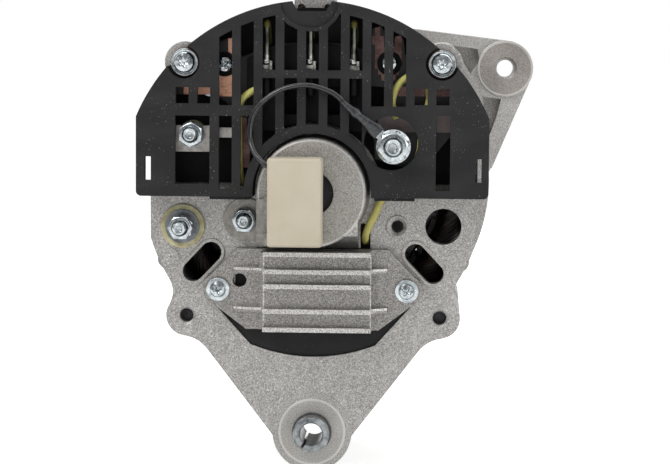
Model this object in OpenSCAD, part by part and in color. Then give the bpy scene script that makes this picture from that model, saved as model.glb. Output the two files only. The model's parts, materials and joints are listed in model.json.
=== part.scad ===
// Engine alternator seen from its slip-ring end, with an external fan and a single V pulley.
// Frame: +Z up, shaft along Y, rear cover towards -Y, origin in the middle of the rear pivot bush.

/* [Mounting] */
// Height of the shaft axis above the pivot axis
axis_h = 89; // [86:0.5:93]
// Bore radius of the split pivot bush
pivot_bore_r = 4.15; // [4:0.05:4.6]
// Outer radius of the split pivot bush
pivot_bush_r = 6.7; // [6.2:0.1:7.2]
// Length of the split pivot bush
pivot_bush_l = 26; // [24:1:30]
// How far the bush stands out behind its lug
pivot_bush_out = 6.4; // [3:0.2:8]
// Width of the slit in the pivot bush
pivot_slit_w = 1; // [0.6:0.1:1.6]
// Outer radius of the rear pivot lug
lug_r = 12.4; // [11.5:0.1:13.5]
// Outer radius of the front pivot lug
front_lug_r = 11.5; // [10:0.1:12.5]
// Bore radius of the front pivot lug
front_lug_bore_r = 5.2; // [4.2:0.1:6]
// Depth of the front pivot lug along the bolt
front_lug_l = 14; // [12:1:18]
// Sideways place of the belt-tension ear
ear_x = 71.3; // [70:0.5:76]
// Height of the belt-tension ear above the shaft axis
ear_z = 43.9; // [42:0.5:47]
// Radius of the ear's boss
ear_r = 10.9; // [10:0.1:11.5]
// Radius of the ear's tapped hole
ear_tap_r = 3.4; // [3:0.1:4.2]
// Depth of the ear's boss
ear_l = 17; // [12:1:19]

/* [Rear casting] */
// Outer radius of the rear casting's wall
rear_rim_r = 62.3; // [62:0.1:63]
// Thickness of both castings' walls
rim_wall_t = 4.5; // [4:0.1:4.8]
// Half the width across the casting's flat sides
rear_flat_x = 59.7; // [59:0.1:61]
// Thickness of the rear casting's end wall
rear_wall_t = 4.6; // [3.8:0.1:5]
// Radius of the circle of through bolts
bolt_ring_r = 65.7; // [65.2:0.1:66.5]
// Radius of the bolt bosses
bolt_boss_r = 7.5; // [6.5:0.1:8]
// Radius of the through bolts' thread
bolt_r = 2.5; // [2.3:0.1:3]
// Height of the hub behind the end wall
hub_h = 16.5; // [15.5:0.1:18]
// Radius of the hub at its rear face
hub_r = 19.6; // [19.4:0.1:20]
// Radius of the hole in the hub's rear face
hub_hole_r = 8; // [7:0.1:9]
// Radius of the machined step around the lug's bore
lug_step_h = 0.8; // [0.4:0.1:1.2]

/* [Stator and rotor] */
// Outer radius of the stator core
stator_r = 59.5; // [59:0.1:60.2]
// Bore radius of the stator core
stator_bore_r = 45; // [44:0.5:46]
// Length of the stator core
stator_l = 26; // [22:1:28]
// Where the stator core starts behind the shaft's middle
stator_y0 = 30; // [29:0.5:32]
// Number of slots in the stator
stator_slots = 36; // [24:12:48]
// Length of the end turns on each side
end_turn_l = 13; // [9:0.5:13.5]
// Air gap between rotor and stator
air_gap = 0.4; // [0.3:0.1:0.8]
// Number of claws on each pole
claw_count = 6; // [6:1:7]
// Thickness of each pole's disc
pole_disc_t = 12; // [10:0.5:12.5]
// Shaft radius at the poles and the front bearing
shaft_r = 8.5; // [8.2:0.1:8.8]
// Shaft radius at the rear bearing
shaft_rear_r = 6; // [5.8:0.1:6.4]
// Shaft radius at the pulley
shaft_pulley_r = 7.5; // [7:0.1:8]
// Outer radius of the slip rings
slip_ring_r = 14; // [13:0.1:14.5]
// Width of each slip ring
slip_ring_w = 6; // [5.5:0.1:6.5]

/* [Bearings] */
// Outer radius of the front bearing
front_bearing_r = 23.5; // [23:0.1:24]
// Width of the front bearing
front_bearing_w = 14; // [13:0.5:15]
// Ball radius of the front bearing
front_ball_r = 4.2; // [3.8:0.1:4.3]
// Outer radius of the rear bearing
rear_bearing_r = 16; // [15.8:0.1:16.3]
// Width of the rear bearing
rear_bearing_w = 10; // [9:0.5:10.5]
// Ball radius of the rear bearing
rear_ball_r = 2.9; // [2.6:0.1:3]

/* [Rear cover] */
// Outer radius of the cover's arch
cover_r = 69; // [68:0.1:70]
// Half the width of the cover
cover_half_w = 63.5; // [62.5:0.1:64.5]
// Height of the cover behind the casting
cover_h = 13; // [12.5:0.1:14]
// Wall thickness of the cover
cover_t = 2; // [1.6:0.1:2.4]
// Spacing of the grille's slots
slot_pitch = 7.8; // [7.6:0.1:8]
// Width of the grille's slots
slot_w = 4.65; // [4:0.05:5]
// Radius of the arc that the upper slots end on
slot_top_r = 64.9; // [64:0.1:65.6]
// Radius of the cut-out around the hub
cover_hub_r = 21.4; // [21.1:0.1:22.5]
// Outer radius of the ring around the hub cut-out
cover_ring_r = 24.6; // [24:0.1:26]
// Radius of the recess around each cover screw
screw_notch_r = 5.9; // [5.6:0.1:6.2]
// Radius of the hole over the output terminal
output_hole_r = 9.7; // [9.2:0.1:10]

/* [Terminals] */
// Sideways place of the output terminal
output_x = 29.3; // [28.8:0.1:30]
// Height of the output terminal above the shaft
output_z = 17; // [16.5:0.1:17.6]
// Thread radius of the output stud
output_stud_r = 3; // [2.8:0.1:3.2]
// Width across flats of the output nut
output_nut_af = 10; // [9.5:0.5:11]
// Thread radius of the small terminal studs
terminal_stud_r = 2.5; // [2.4:0.1:2.7]
// Width across flats of the small terminal nuts
terminal_nut_af = 8; // [7.5:0.5:8.5]
// Height of the small terminal nuts
terminal_nut_h = 4; // [3:0.5:5]

/* [Regulator and capacitor] */
// Width of the finned block
fin_block_w = 39.2; // [36:0.2:41]
// Height of the finned block
fin_block_h = 29.4; // [27:0.2:31]
// Height of the fins behind the end wall
fin_top = 13; // [11:0.2:14.5]
// Thickness of each fin
fin_t = 1.7; // [1.2:0.1:2.2]
// Thickness of the regulator's mounting plate
regulator_plate_t = 4; // [3:0.1:5]
// Width of the capacitor
capacitor_w = 18.2; // [16:0.2:19]
// Height of the capacitor
capacitor_l = 30.3; // [28:0.2:32]
// Depth of the capacitor
capacitor_t = 10.8; // [9:0.2:12]
// Length of a new brush
brush_l = 16; // [12:0.5:18]
// Width of a brush along the shaft
brush_w = 5; // [4:0.2:5.4]
// Breadth of a brush across the shaft
brush_b = 7; // [6:0.2:8]
// How far a brush slides into its box
brush_travel = 5; // [3:0.5:6]

/* [Fan and pulley] */
// Outer radius of the fan
fan_r = 57; // [52:1:60]
// Number of fan blades
fan_blades = 12; // [8:1:14]
// Depth of the fan blades
fan_blade_h = 9; // [7:0.5:9.5]
// Sheet thickness of the fan
fan_t = 1.5; // [1.2:0.1:2]
// Outer radius of the pulley
pulley_r = 35; // [32:1:40]
// Width of the pulley
pulley_w = 20; // [18:1:24]
// Depth of the V groove
groove_depth = 12; // [10:0.5:14]
// Opening width of the V groove
groove_w = 13; // [11:0.5:13.5]

/* [Hidden] */
$fn = 64;

// Clearances of the fits
touch = 0.02;
slip_fit = 0.05;
free_gap = 0.3;
loose_gap = 0.5;

// Inside of the castings, and what the winding keeps clear of it
rim_in_r = rear_rim_r - rim_wall_t;
end_turn_gap = 0.8;
slot_wall = 3.3;
lead_room = 1.9;

// Places along the shaft, from the rear to the front
lug_rear_y = -pivot_bush_l / 2 + pivot_bush_out;
face_y = lug_rear_y + lug_step_h;
wall_y = face_y + rear_wall_t;
lug_front_y = pivot_bush_l / 2 - 1;
hub_face_y = face_y - hub_h;
cover_face_y = face_y - cover_h;
stator_y1 = stator_y0 + stator_l;
spigot = 3;
rear_seam_y = stator_y0 + spigot;
front_seam_y = stator_y1 - spigot;
front_wall_y1 = 82;
front_wall_t = 4;
front_lug_y0 = 76;
ear_y0 = 63;
rear_bearing_y0 = hub_face_y + 3.1;
rear_bearing_y1 = rear_bearing_y0 + rear_bearing_w;
front_bearing_y0 = 70;
front_bearing_y1 = front_bearing_y0 + front_bearing_w;
fan_disc_y = front_bearing_y1 + 12;
pulley_y0 = fan_disc_y + fan_t;
pulley_y1 = pulley_y0 + pulley_w;
pole_y0 = stator_y0 - 12;
pole_y1 = stator_y1 + 12;
pole_mid_y = (pole_y0 + pole_y1) / 2;
pole_r = stator_bore_r - air_gap;
slip_y = [0, 8];

// Bolt and screw positions around the shaft
bolt_c = bolt_ring_r * cos(45);
bolt_xz = [[-bolt_c, -bolt_c], [bolt_c, -bolt_c], [bolt_c, bolt_c], [-bolt_c, bolt_c]];
cover_boss_h = 5;
cover_floor_t = 2;
lug_c = [0, -axis_h];

// Terminal positions beside the shaft, as x and z
exciter_xz = [-43.8, 20.6];
phase_tap_xz = [-47.8, -13.4];
ground_xz = [-24.9, -10.9];
output_xz = [output_x, output_z];

// Basic helpers
module at_axis() translate([0, 0, axis_h]) children();
module slab(y0, y1) translate([0, y1, 0]) rotate([90, 0, 0]) linear_extrude(y1 - y0) children();
module rod(r, y0, y1) translate([0, y1, 0]) rotate([90, 0, 0]) cylinder(r = r, h = y1 - y0);
module cone(r0, r1, y0, y1) translate([0, y1, 0]) rotate([90, 0, 0])
    cylinder(r1 = r1, r2 = r0, h = y1 - y0);
module hex(af, y0, y1) translate([0, y1, 0]) rotate([90, 0, 0]) rotate([0, 0, 30])
    cylinder(r = af / sqrt(3), h = y1 - y0, $fn = 6);
module spin() rotate([-90, 0, 0]) rotate_extrude() children();
module place(p) translate([p.x, 0, p.y]) children();
module block(x0, x1, y0, y1, z0, z1) translate([x0, y0, z0]) cube([x1 - x0, y1 - y0, z1 - z0]);
module prism_x(x0, x1) translate([x0, 0, 0]) rotate([90, 0, 90]) linear_extrude(x1 - x0) children();
function polar(r, a) = [r * cos(a), r * sin(a)];
function arc(r, a0, a1, n = 12) = [for (i = [0:n]) polar(r, a0 + (a1 - a0) * i / n)];

// Sector of a ring, drawn flat, from angle a0 to a1 and radius r0 to r1
module ring_sector(r0, r1, a0, a1) polygon(concat(arc(r1, a0, a1), arc(r0, a1, a0)));

// Rounded rectangle and oblong slot, drawn flat
module rounded_rect(w, h, r) {
    square([w - 2 * r, h], center = true);
    square([w, h - 2 * r], center = true);
    for (sx = [-1, 1]) for (sz = [-1, 1]) translate([sx * (w / 2 - r), sz * (h / 2 - r)])
        circle(r, $fn = 24);
}
module oblong(p, q, r) {
    d = q - p;
    n = [-d.y, d.x] * r / norm(d);
    polygon([p + n, q + n, q - n, p - n]);
    translate(p) circle(r);
    translate(q) circle(r);
}

// Smooth curve through a list of points, and a round tube along it
function unit(v) = v / norm(v);
function curve_point(a, b, c, d, t) =
    0.5 * (2 * b + (c - a) * t + (2 * a - 5 * b + 4 * c - d) * t * t + (3 * b - a - 3 * c + d) * t * t * t);
function smooth_route(p, n = 4) = concat(
    [for (i = [0:len(p) - 2]) for (j = [0:n - 1])
        curve_point(p[max(i - 1, 0)], p[i], p[i + 1], p[min(i + 2, len(p) - 1)], j / n)],
    [p[len(p) - 1]]
);
function tangents(p) = [for (i = [0:len(p) - 1]) unit(p[min(i + 1, len(p) - 1)] - p[max(i - 1, 0)])];
function frames(t, i = 0, n = [0.15, 1, 0.3]) =
    i >= len(t) ? [] : let (m = unit(n - t[i] * (n * t[i]))) concat([m], frames(t, i + 1, m));
module tube(p, r, sides = 8) {
    t = tangents(p);
    n = frames(t);
    last = len(p) - 1;
    rings = [for (i = [0:last]) let (b = cross(t[i], n[i])) for (k = [0:sides - 1])
        p[i] + r * (cos(360 * k / sides) * n[i] + sin(360 * k / sides) * b)];
    walls = [for (i = [0:last - 1]) for (k = [0:sides - 1])
        [i * sides + k, (i + 1) * sides + k, (i + 1) * sides + (k + 1) % sides,
        i * sides + (k + 1) % sides]];
    ends = [[for (k = [0:sides - 1]) k], [for (k = [sides - 1:-1:0]) last * sides + k]];
    polyhedron(rings, concat(walls, ends), convexity = 8);
}

// Concave blend between two circles, on the side given by 1 or -1. It stands just proud of both
blend_proud = 0.05;
module blend_circles(c1, r1, c2, r2, rf, side) {
    d = norm(c2 - c1);
    a = r1 + rf;
    b = r2 + rf;
    x = (a * a - b * b + d * d) / (2 * d);
    h = sqrt(a * a - x * x) * side;
    u = (c2 - c1) / d;
    cf = c1 + u * x + [-u.y, u.x] * h;
    difference() {
        polygon([c1, c2, cf]);
        translate(cf) circle(rf - blend_proud);
    }
}

brush_box_x = 6;

// Straight flank from the lug to a bolt boss: tangent to the lug,
// passing flank_out inside the boss's centre
flank_out = -1.4;
boss_l = bolt_xz[0];
flank_d = boss_l - lug_c;
flank_a = atan2(flank_d.y, flank_d.x) + acos((lug_r + flank_out) / norm(flank_d));
flank_n = polar(1, flank_a);
flank_k = flank_n * lug_c + lug_r;
flank_fillet_r = 13;
flank_reach = bolt_boss_r + flank_fillet_r;
flank_side = sqrt(pow(flank_reach, 2) - pow(flank_k + flank_fillet_r - flank_n * boss_l, 2));
flank_t = [-flank_n.y, flank_n.x];
flank_dir = flank_t * (flank_t * (lug_c - boss_l) > 0 ? 1 : -1);
flank_fillet_c = boss_l + flank_n * (flank_k + flank_fillet_r - flank_n * boss_l) + flank_dir * flank_side;
flank_foot = flank_fillet_c - flank_n * flank_fillet_r;

module half_web() difference() {
    polygon([
        lug_c, lug_c + flank_n * (lug_r + blend_proud), flank_foot + flank_n * blend_proud,
        flank_fillet_c, boss_l, [0, boss_l.y]
    ]);
    translate(flank_fillet_c) circle(flank_fillet_r - blend_proud);
}

// Straight stiffening rib between two points, as a rectangle
web_rib_t = 4.6;
web_rib_h = 13;
rib_off = lug_r - web_rib_t / 2 - 0.4;
module rib(p, q) {
    n = unit([p.y - q.y, q.x - p.x]) * web_rib_t / 2;
    polygon([p + n, q + n, q - n, p - n]);
}

module rear_outline() {
    intersection() {
        circle(rear_rim_r, $fn = 128);
        square([2 * rear_flat_x, 2 * rear_rim_r], center = true);
    }
    for (p = bolt_xz) translate(p) circle(bolt_boss_r);
    translate(lug_c) circle(lug_r);
    half_web();
    mirror([1, 0]) half_web();
    blend_circles([0, 0], rear_rim_r, bolt_xz[0], bolt_boss_r, 9, -1);
    mirror([1, 0]) blend_circles([0, 0], rear_rim_r, bolt_xz[0], bolt_boss_r, 9, -1);
}

// Opening in the end wall for the brush holder
opening_r = 61.2;
opening_side = [36.2, -42];
opening_arc_a = 22;
module brush_opening(inset = 0) {
    r = opening_r - inset;
    a = opening_arc_a;
    right = [
        polar(r, -90 + a), opening_side - [2.35, 1] * inset, [28.5 - inset, opening_side.y - inset],
        [28.5 - inset, -30], [20.5 - inset, -21 - inset]
    ];
    left = [for (i = [len(right) - 1:-1:0]) [-right[i].x, right[i].y]];
    polygon(concat([for (i = [1:11]) polar(r, -90 - a + 2 * a * i / 12)], right, left));
}

// Cooling windows in the end walls, as start and end angles
rear_windows = [[40, 62], [68, 112], [118, 146]];
front_windows = 8;

rectifier_boss_r = 4.2;

// Row of round-ended windows through a casting's wall, skipping the bolt bosses and the angles listed
module rim_windows(y0, y1, half_w, skip = []) {
    for (i = [0:15]) {
        a = i * 22.5;
        if (a % 90 != 45 && len(search(a, skip)) == 0) rotate([0, -a, 0]) {
            block(rim_in_r - 9, rim_in_r + 9, y0 + half_w, y1 - half_w, -half_w, half_w);
            for (y = [y0 + half_w, y1 - half_w]) translate([rim_in_r - 9, y, 0]) rotate([0, 90, 0])
                cylinder(r = half_w, h = 18);
        }
    }
}

// Features of the rear casting's lower face, as x and z beside the shaft
wiring_slots = [[[-37.4, -23], [-44, -30]], [[37.4, -23], [44, -30]]];
wiring_slot_r = 3.8;
slot_bead_w = 1.2;
slot_bead_h = 0.7;
big_hole = [47.5, -12.8];
big_hole_r = 6.6;
small_hole = [30.8, -12.9];
small_hole_r = 2.2;
mark_rings = [[-53, -25.5], [53, -25.5]];
dimple = [0, -64.6];
lead_hole = [-25.6, 3];
lead_hole_r = 2;
regulator_screw_xz = [[-34.4, -36.1], [34.4, -36.1]];
rectifier_screw_xz = [[-32, 45.8], [27.4, 46.6]];
rectifier_screw_r = 2;
regulator_screw_r = 2;
hub_base_r = 20.6;
hub_step_x = 16.8;
hub_step_z = -15.2;
hub_step_low = -20.3;
lead_notch = [17.3, 20.9];
top_pad_x = 7.4;
pad_hole_x = 4.8;
pad_hole_z = 66.3;
pad_hole_r = 1.4;
pad_hole_l = 8;
top_pad_r = 70.4;
insulator_r = 8;
insulator_sleeve_r = 3.6;

regulator_boss_r = 4.6;
rear_bolt_top_y = face_y - cover_boss_h;
module rear_wall_holes() {
    circle(rear_bearing_r);
    brush_opening();
    translate([lead_notch[0], -22]) square([lead_notch[1] - lead_notch[0], 10]);
    for (w = rear_windows) difference() {
        ring_sector(27.5, 57.2, w[0], w[1]);
        for (p = rectifier_screw_xz) translate(p) circle(rectifier_boss_r + free_gap);
    }
    for (s = wiring_slots) oblong(s[0], s[1], wiring_slot_r);
    translate(big_hole) circle(big_hole_r);
    translate(small_hole) circle(small_hole_r);
    translate(lead_hole) circle(lead_hole_r);
    translate(lug_c) circle(pivot_bush_r);
    translate(ground_xz) circle(terminal_stud_r);
    for (p = bolt_xz) translate(p) circle(bolt_r);
    for (p = rectifier_screw_xz) translate(p) circle(rectifier_screw_r);
    for (p = regulator_screw_xz) translate(p) circle(regulator_screw_r);
    for (p = [exciter_xz, phase_tap_xz]) translate(p) circle(insulator_sleeve_r);
}
module ring(r0, r1, y0, y1) slab(y0, y1) difference() {
    circle(r1);
    circle(r0);
}
module rear_hub() {
    spin() polygon([
        [hub_hole_r, hub_face_y], [hub_r - 0.9, hub_face_y], [hub_r, hub_face_y + 0.9],
        [hub_base_r, face_y],
        [hub_base_r, wall_y], [rear_bearing_r, wall_y], [rear_bearing_r, rear_bearing_y0],
        [hub_hole_r, rear_bearing_y0]
    ]);
    difference() {
        prism_x(-hub_step_x, hub_step_x) polygon([
            [hub_face_y, hub_step_z], [face_y - 5.5, hub_step_low], [wall_y, hub_step_low],
            [wall_y, -hub_hole_r], [hub_face_y, -hub_hole_r]
        ]);
        rod(hub_r - 2, hub_face_y - 1, wall_y + 1);
    }
}
module rear_rim() difference() {
    slab(face_y + 1, rear_seam_y) difference() {
        intersection() {
            circle(rear_rim_r, $fn = 128);
            square([2 * rear_flat_x, 2 * rear_rim_r], center = true);
        }
        circle(rim_in_r, $fn = 128);
        for (p = bolt_xz) translate(p) circle(bolt_boss_r - 1);
        for (p = rectifier_screw_xz) translate(p) circle(rectifier_screw_r + touch);
    }
    slab(face_y, wall_y + touch) brush_opening();
    rim_windows(9, 27, 4.6, [247.5, 270, 292.5]);
}
module rear_bracket() color("silver") at_axis() difference() {
    union() {
        slab(face_y, wall_y) difference() {
            rear_outline();
            rear_wall_holes();
        }
        rear_rim();
        rear_hub();
        for (p = bolt_xz) place(p)
            ring(bolt_r, bolt_boss_r, p.y > 0 ? rear_bolt_top_y : face_y, rear_seam_y);
        place(lug_c) {
            ring(pivot_bush_r, lug_r, lug_rear_y, lug_front_y);
            ring(pivot_bush_r, lug_r + 2.2, face_y - 0.25, face_y + 1);
        }
        slab(wall_y - 1, face_y + web_rib_h) {
            for (m = [0, 1]) mirror([m, 0])
                rib(lug_c + flank_n * rib_off + flank_t * 8, flank_foot - flank_n * (lug_r - rib_off));
            rib(lug_c + [0, lug_r - 1], [0, -rear_rim_r + web_rib_t]);
        }
        slab(face_y + 1, face_y + 18) intersection() {
            difference() {
                circle(top_pad_r, $fn = 128);
                circle(rear_rim_r - 1);
            }
            translate([-top_pad_x, 0]) square([2 * top_pad_x, top_pad_r + 1]);
        }
        for (s = wiring_slots) slab(face_y - slot_bead_h, face_y + 1) difference() {
            oblong(s[0], s[1], wiring_slot_r + slot_bead_w);
            oblong(s[0], s[1], wiring_slot_r);
        }
        for (p = mark_rings) place(p) ring(3.5, 4.1, face_y - 0.35, face_y + 1);
        place(small_hole) ring(small_hole_r, small_hole_r + 1.9, face_y - 0.4, face_y + 8);
        for (p = rectifier_screw_xz) place(p)
            ring(rectifier_screw_r, rectifier_boss_r, face_y - 2, wall_y + 5);
        for (p = regulator_screw_xz) place(p)
            ring(regulator_screw_r, regulator_boss_r, face_y + 1, wall_y + 4);
    }
    rod(stator_r, stator_y0, rear_seam_y + 1);
    block(-brush_box_x - free_gap, brush_box_x + free_gap, face_y + 1.2, wall_y + 0.1, -25, -10);
    for (x = [-pad_hole_x, pad_hole_x]) place([x, pad_hole_z])
        rod(pad_hole_r, face_y, face_y + pad_hole_l);
    place(small_hole) cone(small_hole_r + 1.3, small_hole_r - 0.4, face_y - 0.41, face_y + 0.9);
    place(dimple) cone(3.1, 1.2, face_y - 0.01, face_y + 1);
    for (i = [0, 1]) place(bolt_xz[i]) cone(bolt_r + 0.9, bolt_r - 0.2, face_y - 0.01, face_y + 0.9);
    place(lug_c) cone(pivot_bush_r + 0.6, pivot_bush_r - 0.2, lug_rear_y - 0.01, lug_rear_y + 0.6);
}

// Drive-end casting with the belt-tension ear and the front pivot lug
front_rim_r = 62.8;
front_lip_r = 65.3;
front_lip_l = 5;
bearing_wall = 4;
front_nose_y = front_bearing_y1 + 2;
front_web_y0 = 77;
ear_web_y0 = ear_y0 + 1.5;
ear_web_y1 = ear_y0 + ear_l - 2;
ear_c = [ear_x, ear_z];
ear_top_a = 83;
ear_side_a = -22.5;
ear_web = [
    [20, 61], ear_c + polar(ear_r, ear_top_a), ear_c + polar(ear_r, ear_side_a), [64.6, 0], [56, 0],
    [20, 50]
];
ear_pockets = [
    [[51, 52.5], [60.4, 51.4], [61.2, 46.5], [57.6, 41.8]],
    [[62.4, 32.8], [69.8, 31.9], [68.2, 25.4], [65, 16.5]]
];
retainer_screw_ring = 28.2;
retainer_screw_a = [30, 150, 270];
retainer_t = 1.6;
retainer_screw_r = 2;
nose_bore_r = 14;

module front_bracket() color("silver") at_axis() difference() {
    union() {
        slab(front_seam_y, front_wall_y1) difference() {
            circle(front_rim_r, $fn = 128);
            circle(rim_in_r, $fn = 128);
        }
        slab(front_seam_y, front_seam_y + front_lip_l) difference() {
            circle(front_lip_r, $fn = 128);
            circle(rim_in_r);
        }
        slab(front_wall_y1 - front_wall_t, front_wall_y1) circle(front_rim_r, $fn = 128);
        rod(front_bearing_r + bearing_wall, front_bearing_y0, front_nose_y);
        for (a = retainer_screw_a) place(polar(retainer_screw_ring, a))
            rod(4.8, front_bearing_y0, front_nose_y);
        for (p = bolt_xz) place(p) rod(bolt_boss_r, front_seam_y, front_wall_y1);
        place(lug_c) rod(front_lug_r, front_lug_y0, front_lug_y0 + front_lug_l);
        slab(front_web_y0, front_wall_y1)
            polygon([lug_c + polar(front_lug_r, 218), bolt_xz[0], bolt_xz[1],
                lug_c + polar(front_lug_r, -38)]);
        slab(front_lug_y0 - 6, front_wall_y1) for (p = [bolt_xz[0], bolt_xz[1]])
            oblong(lug_c + [sign(p.x) * (front_lug_r - 4), 4], p * 0.98, web_rib_t / 2);
        slab(ear_web_y0, ear_web_y1) difference() {
            polygon(ear_web);
            circle(rim_in_r + 1);
        }
        place(ear_c) rod(ear_r, ear_y0, ear_y0 + ear_l);
    }
    rod(stator_r, front_seam_y - 1, stator_y1);
    rod(front_bearing_r, front_bearing_y0 - 20, front_bearing_y1);
    rod(nose_bore_r, front_bearing_y1 - 1, front_nose_y + 1);
    for (i = [0:front_windows - 1]) slab(front_wall_y1 - front_wall_t - 1, front_wall_y1 + 1)
        ring_sector(35, 53, i * 360 / front_windows - 16, i * 360 / front_windows + 16);
    for (a = retainer_screw_a) place(polar(retainer_screw_ring, a))
        rod(retainer_screw_r, front_bearing_y0 - 1, front_nose_y + 1);
    for (p = bolt_xz) place(p) rod(bolt_r + touch, front_seam_y - 1, front_wall_y1 + 1);
    place(lug_c) rod(front_lug_bore_r, front_lug_y0 - 8, front_lug_y0 + front_lug_l + 1);
    for (q = ear_pockets) slab(ear_web_y0 - 1, ear_web_y0 + 8) polygon(q);
    place(ear_c) {
        rod(ear_tap_r, ear_y0 - 1, ear_y0 + ear_l + 1);
        cone(ear_tap_r + 1.1, ear_tap_r, ear_y0 - 0.01, ear_y0 + 1.1);
    }
    rim_windows(60, 75, 4.6, [22.5, 247.5, 270, 292.5]);
}

// Laminated core with open slots towards the rotor
slot_root_r = rim_in_r - slot_wall;
slot_body_w = 4.2;
slot_mouth_w = 2;
slot_mouth_r = 46.8;
module stator_core() color("dimgray") at_axis() slab(stator_y0, stator_y1) difference() {
    circle(stator_r, $fn = 128);
    circle(stator_bore_r, $fn = 128);
    for (i = [0:stator_slots - 1]) rotate((i + 0.5) * 360 / stator_slots) {
        translate([slot_mouth_r, -slot_body_w / 2]) square([slot_root_r - slot_mouth_r, slot_body_w]);
        translate([stator_bore_r - 1, -slot_mouth_w / 2])
            square([slot_mouth_r - stator_bore_r + 1.5, slot_mouth_w]);
    }
}

// End turns on both sides and the bundles that fill the slots
end_turn_in_r = 47.2;
end_turn_out_r = rim_in_r - end_turn_gap;
slot_liner = 0.2;
module end_turn(y0) at_axis() spin()
    translate([(end_turn_in_r + end_turn_out_r) / 2, y0 + end_turn_l / 2])
    rounded_rect(end_turn_out_r - end_turn_in_r, end_turn_l, 3.5);
module stator_winding() color("peru") {
    end_turn(stator_y0 - end_turn_l - free_gap);
    end_turn(stator_y1 + free_gap);
    at_axis() slab(stator_y0 - 2, stator_y1 + 2) for (i = [0:stator_slots - 1])
        rotate((i + 0.5) * 360 / stator_slots)
        translate([slot_mouth_r + 0.8, -slot_body_w / 2 + slot_liner])
            square([slot_root_r - slot_mouth_r - 1, slot_body_w - 2 * slot_liner]);
}

// Four bolts from the drive end into the rear casting's threads
bolt_head_af = 8;
bolt_head_h = 3.5;
module through_bolts() color("lightgray") at_axis() for (p = bolt_xz) place(p) {
    rod(bolt_r, wall_y, front_wall_y1 + 0.01);
    hex(bolt_head_af, front_wall_y1, front_wall_y1 + bolt_head_h);
}

// Spring bush with a slit, chamfered at both ends
bush_chamfer = 0.45;
slit_a = 234;
module pivot_bush() color("lightsteelblue") difference() {
    spin() polygon([
        [pivot_bore_r + bush_chamfer, -pivot_bush_l / 2],
        [pivot_bush_r - bush_chamfer, -pivot_bush_l / 2],
        [pivot_bush_r, -pivot_bush_l / 2 + bush_chamfer], [pivot_bush_r, pivot_bush_l / 2 - bush_chamfer],
        [pivot_bush_r - bush_chamfer, pivot_bush_l / 2], [pivot_bore_r + bush_chamfer, pivot_bush_l / 2],
        [pivot_bore_r, pivot_bush_l / 2 - bush_chamfer], [pivot_bore_r, -pivot_bush_l / 2 + bush_chamfer]
    ]);
    rotate([0, -slit_a, 0])
        block(0, pivot_bush_r + 1, -pivot_bush_l, pivot_bush_l, -pivot_slit_w / 2, pivot_slit_w / 2);
}

// Rear cover: a moulded shell with a slotted face
cover_bottom_z = -1.7;
cover_corner_r = 1.9;
floor_y0 = face_y - cover_boss_h - cover_floor_t;
floor_y1 = face_y - cover_boss_h;
upper_row_z = 44;
lower_row_z = 41.1;
side_row_z = [31.2, 27.4];
left_column_z = [1, 27.4];
square_z = [31.8, 37.6];
left_window = [[-49.3, 2.8], [-36.9, 27.4]];
right_slot = [[44.5, 1.2], [49.6, 28.3]];
side_slits = [[[-60.3, 4.1], [-58, 12.6]], [[58.7, 4.2], [60.9, 12.7]]];
notch = [[-8, 71], [-7.2, 68], [-5.4, 65.1], [4.7, 65.1], [6.5, 68], [7.3, 71]];
funnel = [[-12, 71], [-11.1, 65.3], [-8.2, 61.7], [-4.8, 59.8], [-1.3, 59.2], [1.9, 59.3], [5.1, 60.7],
    [7.5, 63.2], [8.9, 65.8], [9.6, 71]];
funnel_drop = 1.2;
cover_lips = [[-37, -22.5], [22.5, 37]];
funnel_spread = 1.1;
funnel_rim = 1.4;

module box_2d(b) translate(b[0]) square(b[1] - b[0]);
module cover_outline(inset = 0) intersection() {
    circle(cover_r - inset, $fn = 160);
    translate([0, cover_bottom_z + cover_r])
        rounded_rect(2 * (cover_half_w - inset), 2 * (cover_r - inset), cover_corner_r);
}
module column(k, z0, z1) translate([k * slot_pitch - slot_w / 2, z0]) square([slot_w, z1 - z0]);
module cover_slots() {
    difference() {
        intersection() {
            circle(slot_top_r, $fn = 128);
            union() {
                for (k = [-2:2]) column(k, upper_row_z, cover_r);
                for (k = [-4, -3, 3, 4]) column(k, side_row_z[0], cover_r);
            }
        }
        funnel_step();
    }
    difference() {
        union() {
            for (k = [-2:2]) column(k, 10, lower_row_z);
            column(-3, left_column_z[0], side_row_z[1]);
            column(-4, left_column_z[0], left_column_z[1]);
        }
        circle(cover_ring_r, $fn = 128);
    }
    for (k = [-6, -5, 5, 6]) column(k, square_z[0], square_z[1]);
    box_2d(left_window);
    box_2d(right_slot);
    for (b = side_slits) box_2d(b);
    translate(output_xz - [0.9, -1.1]) circle(output_hole_r);
}
module funnel_step() polygon([for (p = funnel) [p.x * funnel_spread, p.y - funnel_rim]]);

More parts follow.
